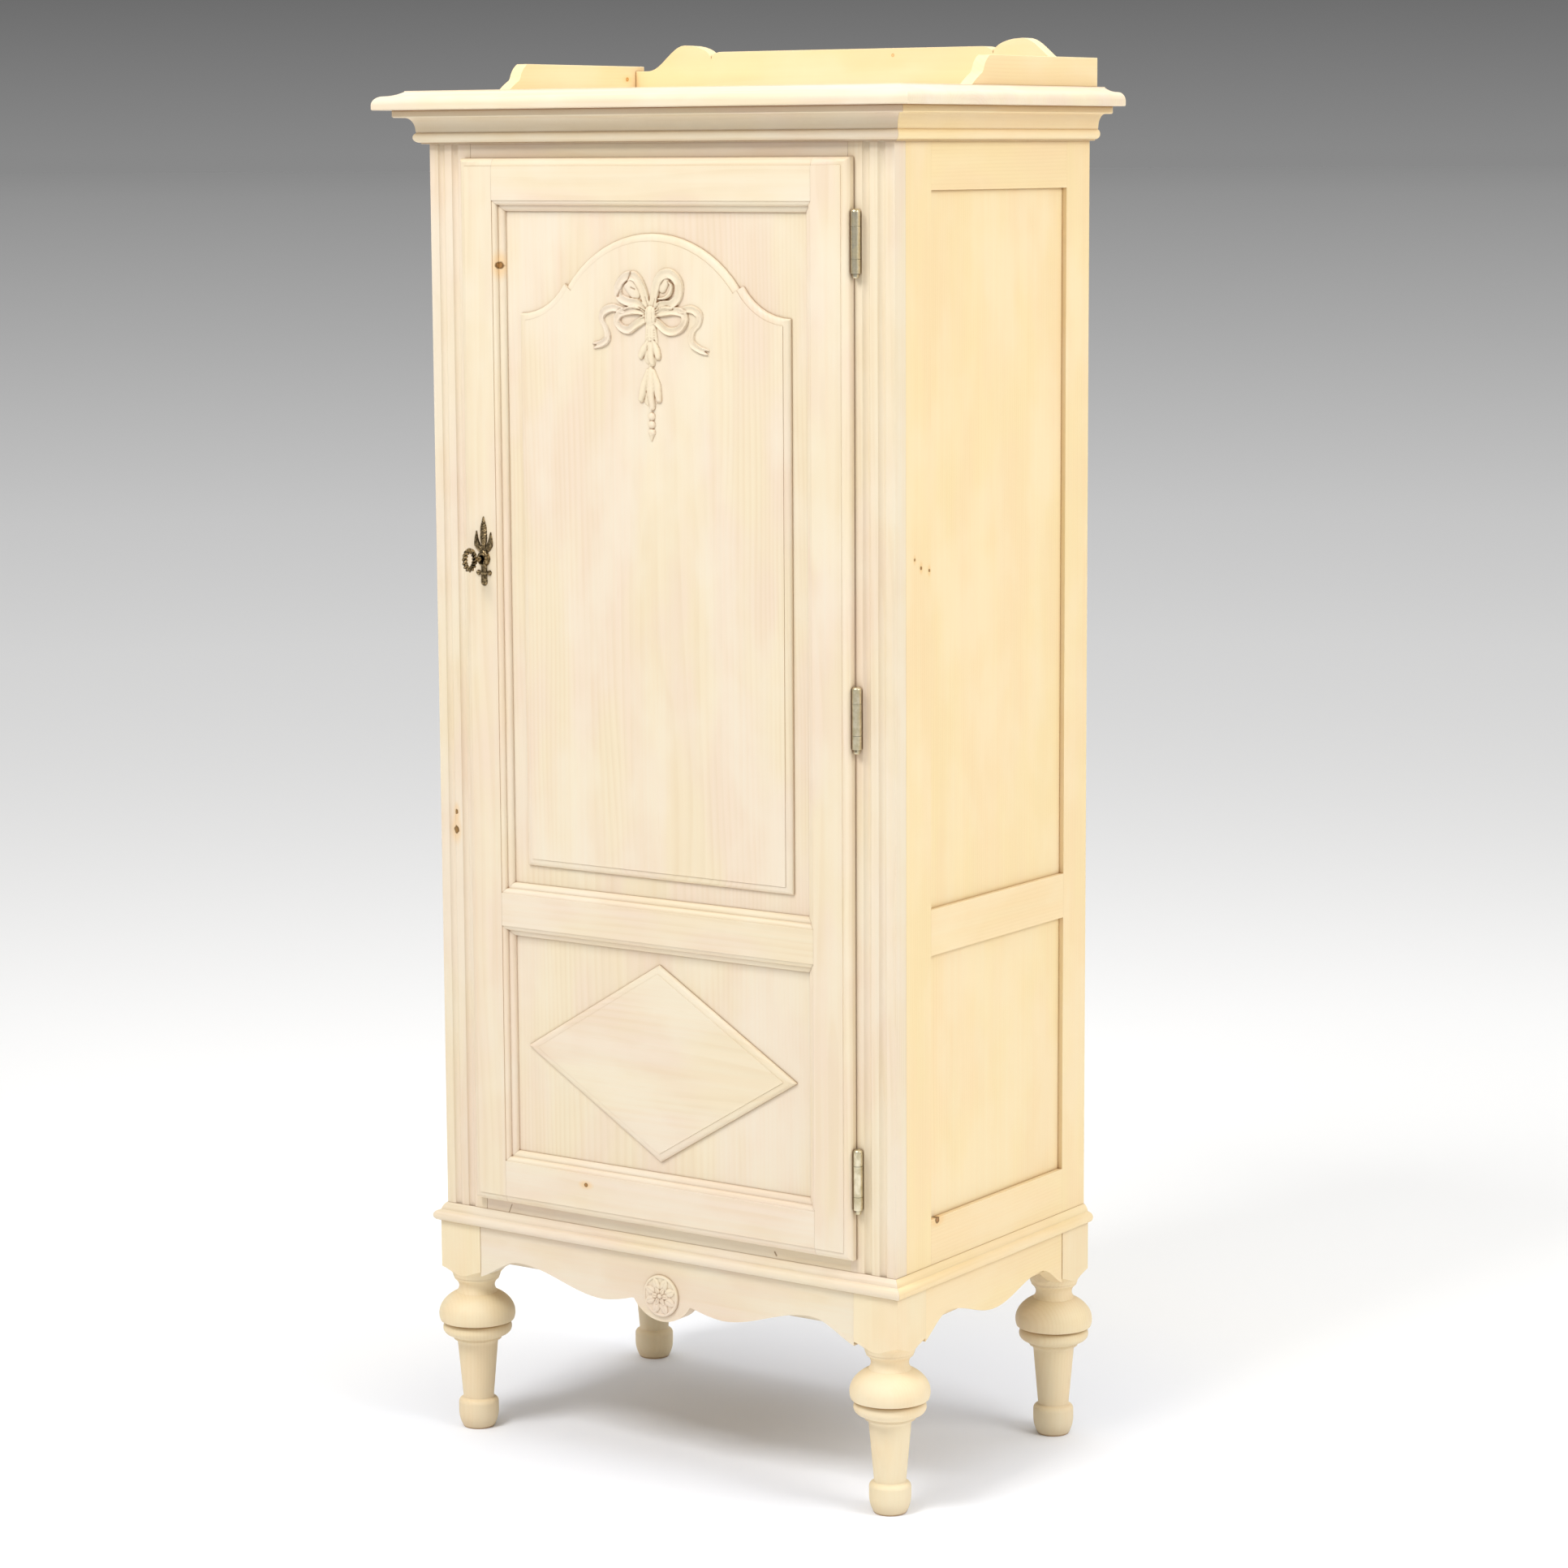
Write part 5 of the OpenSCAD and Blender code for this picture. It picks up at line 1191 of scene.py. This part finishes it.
@dataclass
class Hardware(SubAssembly):
    """Hinges, key plate, lock, key and their screws."""

    leaf_ease_mm: float = 0.2
    lock_ease_mm: float = 0.4
    bolt_ease_mm: float = 0.3
    leaf_height_mm: float = 66.0
    screw_edge_mm: float = 9.0
    lock_inset_mm: float = 4.5
    screw_radius_mm: float = 2.9
    screw_depth_mm: float = 1.2
    screw_slot_mm: float = 0.8
    screw_spread_mm: float = 22.0
    screw_seed: int = 4
    ring_mm: float = 24.6
    ring_turns: float = 7.0
    strand_mm: float = 2.15
    shank_mm: float = 2.0
    bit_half_mm: float = 0.9
    bit_mm: tuple[Point, ...] = ((0.0, 0.0), (0.0, -5.0), (2.1, -5.0), (2.1, -3.2),
                                 (3.6, -3.2), (3.6, -5.0), (6.0, -5.0), (6.0, 0.0))

    def build(self) -> None:
        """Make and finish the metal pieces."""
        for node, finish, body, ease_mm in (
                ("hinge_frame_leaves", SATIN_NICKEL, "case", self.leaf_ease_mm),
                ("hinge_pins", SATIN_NICKEL, "case", 0.0),
                ("hinge_door_leaves", SATIN_NICKEL, "door", self.leaf_ease_mm),
                ("lock_case", LOCK_STEEL, "door", self.lock_ease_mm),
                ("lock_bolt", LOCK_STEEL, "bolt", self.bolt_ease_mm),
                ("lock_follower", LOCK_STEEL, "follower", 0.0)):
            self.keep(self.eased(node, ease_mm), finish, node, body=body)
        self._plate()
        self._key()
        self._screws()

    def _keyhole(self) -> Vector:
        """Find the keyhole's middle on the door's face."""
        low, high = corners("key")
        return Vector(((low.x + high.x) / 2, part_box("key_plate")[1][1], (low.z + high.z) / 2))

    def _plate(self) -> None:
        """Cast the key plate: a twisted bud between two leaves, a boss, a cross bar and a tab."""
        mesh = Relief(PLATE, cell_mm=0.35).mesh("key_plate_finished", self._keyhole())
        piece = link("key_plate_finished", mesh)
        shade(piece, 50)
        self.keep(piece, AGED_BRONZE, "key_plate", body="door")

    def _key(self) -> None:
        """Make the key: a turned shank, a notched bit and a ring like twisted rope."""
        low, high = corners("key")
        wire = (high.x - low.x) / 2
        depth, strand = self.ring_mm * MM, self.strand_mm * MM
        centre = self._keyhole()
        centre.y = low.y + depth / 2
        ring = grown("key_ring", bpy.data.meshes.new("key_ring"), rope_ring_tree(), {
            "Half Depth": depth / 2 - wire, "Half Height": (high.z - low.z) / 2 - wire,
            "Strand Radius": strand, "Strand Offset": wire - strand,
            "Turns": self.ring_turns, "Centre": centre, "Material": AGED_BRONZE.material()})
        thick, length = self.shank_mm, (high.y - low.y) / MM - self.ring_mm
        profile = [(0, -1.5), (2.6, -1.2), (3.0, 0.2), (2.2, 1.4), *bead(3.3, 3.0, 1.2, 2.2),
                   *bead(2.9, 5.4, 0.8, thick), (thick, 6.4), (thick, length - 0.5),
                   (thick - 0.5, length), (0, length)]
        start = Matrix.Translation((centre.x, low.y + depth, centre.z))
        shank = turned("key_shank", profile, start @ Matrix.Rotation(-math.pi / 2, 4, "X"), 32)
        piece = link("key_finished", joined("key_finished", [ring.data, shank, self._bit(centre, high.y)]))
        shade(piece, 40)
        self.keep(piece, AGED_BRONZE, "key", body="key")

    def _bit(self, centre: Vector, end_y: float) -> Mesh:
        """Cut the key's bit, a thin plate with one notch.

        Args:
            centre: the shank's axis.
            end_y: where the shank ends.

        Returns:
            The bit's mesh.
        """
        half, count = self.bit_half_mm * MM, len(self.bit_mm)
        start_y = end_y - max(y for y, _ in self.bit_mm) * MM
        points = [(centre.x + side * half, start_y + y * MM, centre.z + z * MM)
                  for side in (-1, 1) for y, z in self.bit_mm]
        rims = [[i, i + count, (i + 1) % count + count, (i + 1) % count] for i in range(count)]
        mesh = bpy.data.meshes.new("key_bit")
        mesh.from_pydata(points, [], [list(range(count))[::-1], list(range(count, 2 * count)), *rims])
        with worked(mesh) as shape:
            bmesh.ops.recalc_face_normals(shape, faces=shape.faces)
        return mesh

    def _screws(self) -> None:
        """Set the screws of the hinges and of the lock."""
        tree = screw_heads_tree()
        low, high = corners("hinge_frame_leaves")
        door_low, door_high = corners("hinge_door_leaves")
        lock_low, lock_high = corners("lock_case")
        leaf, edge, inset = self.leaf_height_mm * MM / 2, self.screw_edge_mm * MM, self.lock_inset_mm * MM
        rows = [z + step * self.screw_spread_mm * MM
                for z in (low.z + leaf, (low.z + high.z) / 2, high.z - leaf) for step in (-1, 0, 1)]
        lock = [(x, lock_high.y, z) for x in (lock_low.x + inset, lock_high.x - inset)
                for z in (lock_low.z + inset, lock_high.z - inset)]
        for name, places, way, finish, body in (
                ("hinge_screws_case", [(low.x, high.y - edge, z) for z in rows], (-1, 0, 0),
                 SATIN_NICKEL, "case"),
                ("hinge_screws_door", [(door_low.x + edge, door_high.y, z) for z in rows], (0, 1, 0),
                 SATIN_NICKEL, "door"),
                ("lock_screws", lock, (0, 1, 0), LOCK_STEEL, "door")):
            mesh = bpy.data.meshes.new(name)
            mesh.from_pydata(places, [], [])
            facing = mesh.attributes.new("facing", "FLOAT_VECTOR", "POINT")
            facing.data.foreach_set("vector", way * len(places))
            piece = grown(name, mesh, tree, {
                "Head Radius": self.screw_radius_mm * MM, "Head Depth": self.screw_depth_mm * MM,
                "Slot Width": self.screw_slot_mm * MM, "Seed": self.screw_seed,
                "Material": finish.material()})
            shade(piece, 30)
            self.keep(piece, finish, body=body)


def stepped(tree: Tree, value: Socket, steps: Sequence[Point]) -> Socket:
    """Turn a value into greys by steps that run into each other.

    Args:
        tree: the node tree.
        value: the value.
        steps: places from 0 to 1, each with its linear grey.

    Returns:
        The grey.
    """
    ramp = add_node(tree, "ValToRGB", value)
    stops = ramp.node.color_ramp.elements
    for number, (place, grey) in enumerate(steps):
        stop = stops[number] if number < 2 else stops.new(place)
        stop.position = place
        stop.color = (grey, grey, grey, 1)
    return ramp


@dataclass(frozen=True)
class Lamp:
    """One soft square area light, with its place, the point that it faces, its width and its power."""

    name: str
    place: Place
    aim: Place
    width: float
    watts: float
    tint: str

    def hang(self) -> None:
        """Hang the light."""
        lamp = bpy.data.lights.new(self.name, "AREA")
        lamp.size = self.width
        lamp.energy = self.watts
        lamp.color = linear(self.tint)[:3]
        holder = bpy.data.objects.new(self.name, lamp)
        bpy.context.scene.collection.objects.link(holder)
        turn = (Vector(self.aim) - Vector(self.place)).to_track_quat("-Z", "Y").to_matrix().to_4x4()
        holder.matrix_world = Matrix.Translation(self.place) @ turn


@dataclass
class Studio:
    """A pale floor, soft light and the camera at the photograph's viewing angle."""

    eye: Place = (2.8, -4.00065, 1.519)
    yaw: float = 34.57
    pitch: float = 8.53
    roll: float = -0.30
    frame_px: int = 1932
    focal_px: float = 5182
    sensor_mm: float = 36.0
    floor_radius: float = 400.0
    floor_fade: float = 8.0
    # Painted shadow: a cool tint painted on the floor under the cupboard, against the warm light that the
    # wood bounces into its shadow
    painted_shadow_tint: str = "#f5f8ff"
    painted_shadow_reach: Point = (0.3, 0.8)
    dip: float = 0.05
    air: tuple[Point, ...] = ((0.0, 0.42), (0.033, 0.305), (0.046, 0.25), (0.05, 0.25), (0.086, 0.155),
                              (0.35, 0.35), (0.75, 0.72))
    # Painted shade: the floor's colour by distance, darker far off where the lamps' light falls away
    painted_falloff: tuple[Point, ...] = ((0.0, 0.97), (0.3, 1.0), (0.51, 1.0), (0.62, 0.91),
                                  (0.8, 0.64), (0.95, 0.44), (1.0, 0.34))
    lamps: tuple[Lamp, ...] = (
        Lamp("key_light", (-0.5, -3.0, 4.4), (0, 0, 0.9), 1.6, 143, "#fffefc"),
        Lamp("side_light", (3.5, -0.1, 3.0), (0, 0, 0.9), 1.8, 68, "#fffdf8"),
        Lamp("top_light", (0.8, 0.8, 4.2), (0.2, 0.2, 0), 3.0, 40, "#ffffff"))

    def build(self) -> None:
        """Make the floor, the air, the light and the camera."""
        self._floor()
        self._air()
        for lamp in self.lamps:
            lamp.hang()
        bpy.context.scene.view_settings.view_transform = "Standard"
        self._camera()

    def _floor(self) -> None:
        """Lay a wide round pale floor, with painted shade that darkens it with distance as its light fades.

        A cool tint is painted under the cupboard as painted shadow.
        """
        mesh = bpy.data.meshes.new("studio_floor")
        with worked(mesh) as shape:
            bmesh.ops.create_circle(shape, cap_ends=True, segments=96, radius=self.floor_radius)
        floor = link("studio_floor", mesh)
        pale, tree = new_material("pale_floor_painted_shade")
        add = partial(add_node, tree)
        away = add("VectorMath", add("TexCoord", out="Object"), out="Value", operation="LENGTH")
        # Painted shade: darker with distance; painted shadow: a cool tint near the cupboard
        far = add("Math", away, add("Math", away, self.floor_fade, operation="ADD"), operation="DIVIDE")
        near = add("MapRange", away, *self.painted_shadow_reach, 1, 0, **SMOOTH)
        painted_shadow_colour = add("Mix", near, out=2, more={6: stepped(tree, far, self.painted_falloff), 7: linear(self.painted_shadow_tint)},
                   data_type="RGBA", blend_type="MULTIPLY")
        add("OutputMaterial", add("BsdfPrincipled", more={
            "Base Color": painted_shadow_colour, "Roughness": 0.7, "Specular IOR Level": 0.2}))
        floor.data.materials.append(pale)

    def _air(self) -> None:
        """Light the studio all round: grey at the horizon, brighter overhead and as the floor below it."""
        world = bpy.data.worlds.new("studio_air")
        world.use_nodes = True
        tree = world.node_tree
        height = add_node(tree, "SeparateXYZ", add_node(tree, "TexCoord", out="Generated"), out=2)
        raised = add_node(tree, "Math", height, self.dip, operation="ADD")
        tree.links.new(stepped(tree, raised, self.air), tree.nodes["Background"].inputs["Color"])
        bpy.context.scene.world = world

    def _camera(self) -> None:
        """Set the camera up from its yaw, pitch and roll."""
        lens = bpy.data.cameras.new("camera")
        lens.sensor_width = self.sensor_mm
        lens.lens = self.sensor_mm * self.focal_px / self.frame_px
        lens.clip_start = 0.05
        lens.clip_end = 3 * self.floor_radius
        camera = bpy.data.objects.new("camera", lens)
        bpy.context.scene.collection.objects.link(camera)
        yaw, pitch, roll = (math.radians(a) for a in (self.yaw, self.pitch, self.roll))
        back = Vector((math.sin(yaw) * math.cos(pitch), -math.cos(yaw) * math.cos(pitch), math.sin(pitch)))
        right = Vector((math.cos(yaw), math.sin(yaw), 0))
        up = back.cross(right)
        across = right * math.cos(roll) + up * math.sin(roll)
        upward = up * math.cos(roll) - right * math.sin(roll)
        turn = Matrix((across, upward, back)).transposed().to_4x4()
        camera.matrix_world = Matrix.Translation(self.eye) @ turn
        bpy.context.scene.camera = camera


def main() -> None:
    """Build the studio and every sub-assembly in order."""
    logging.basicConfig(level=logging.INFO, format="%(name)s: %(message)s")
    Studio().build()
    for assembly in (LegFrame(), Case(), Cornice(), Door(), Hardware()):
        assembly.build()
        log.info("%s: %d pieces", type(assembly).__name__, len(assembly.made))


if __name__ == "__main__":
    main()
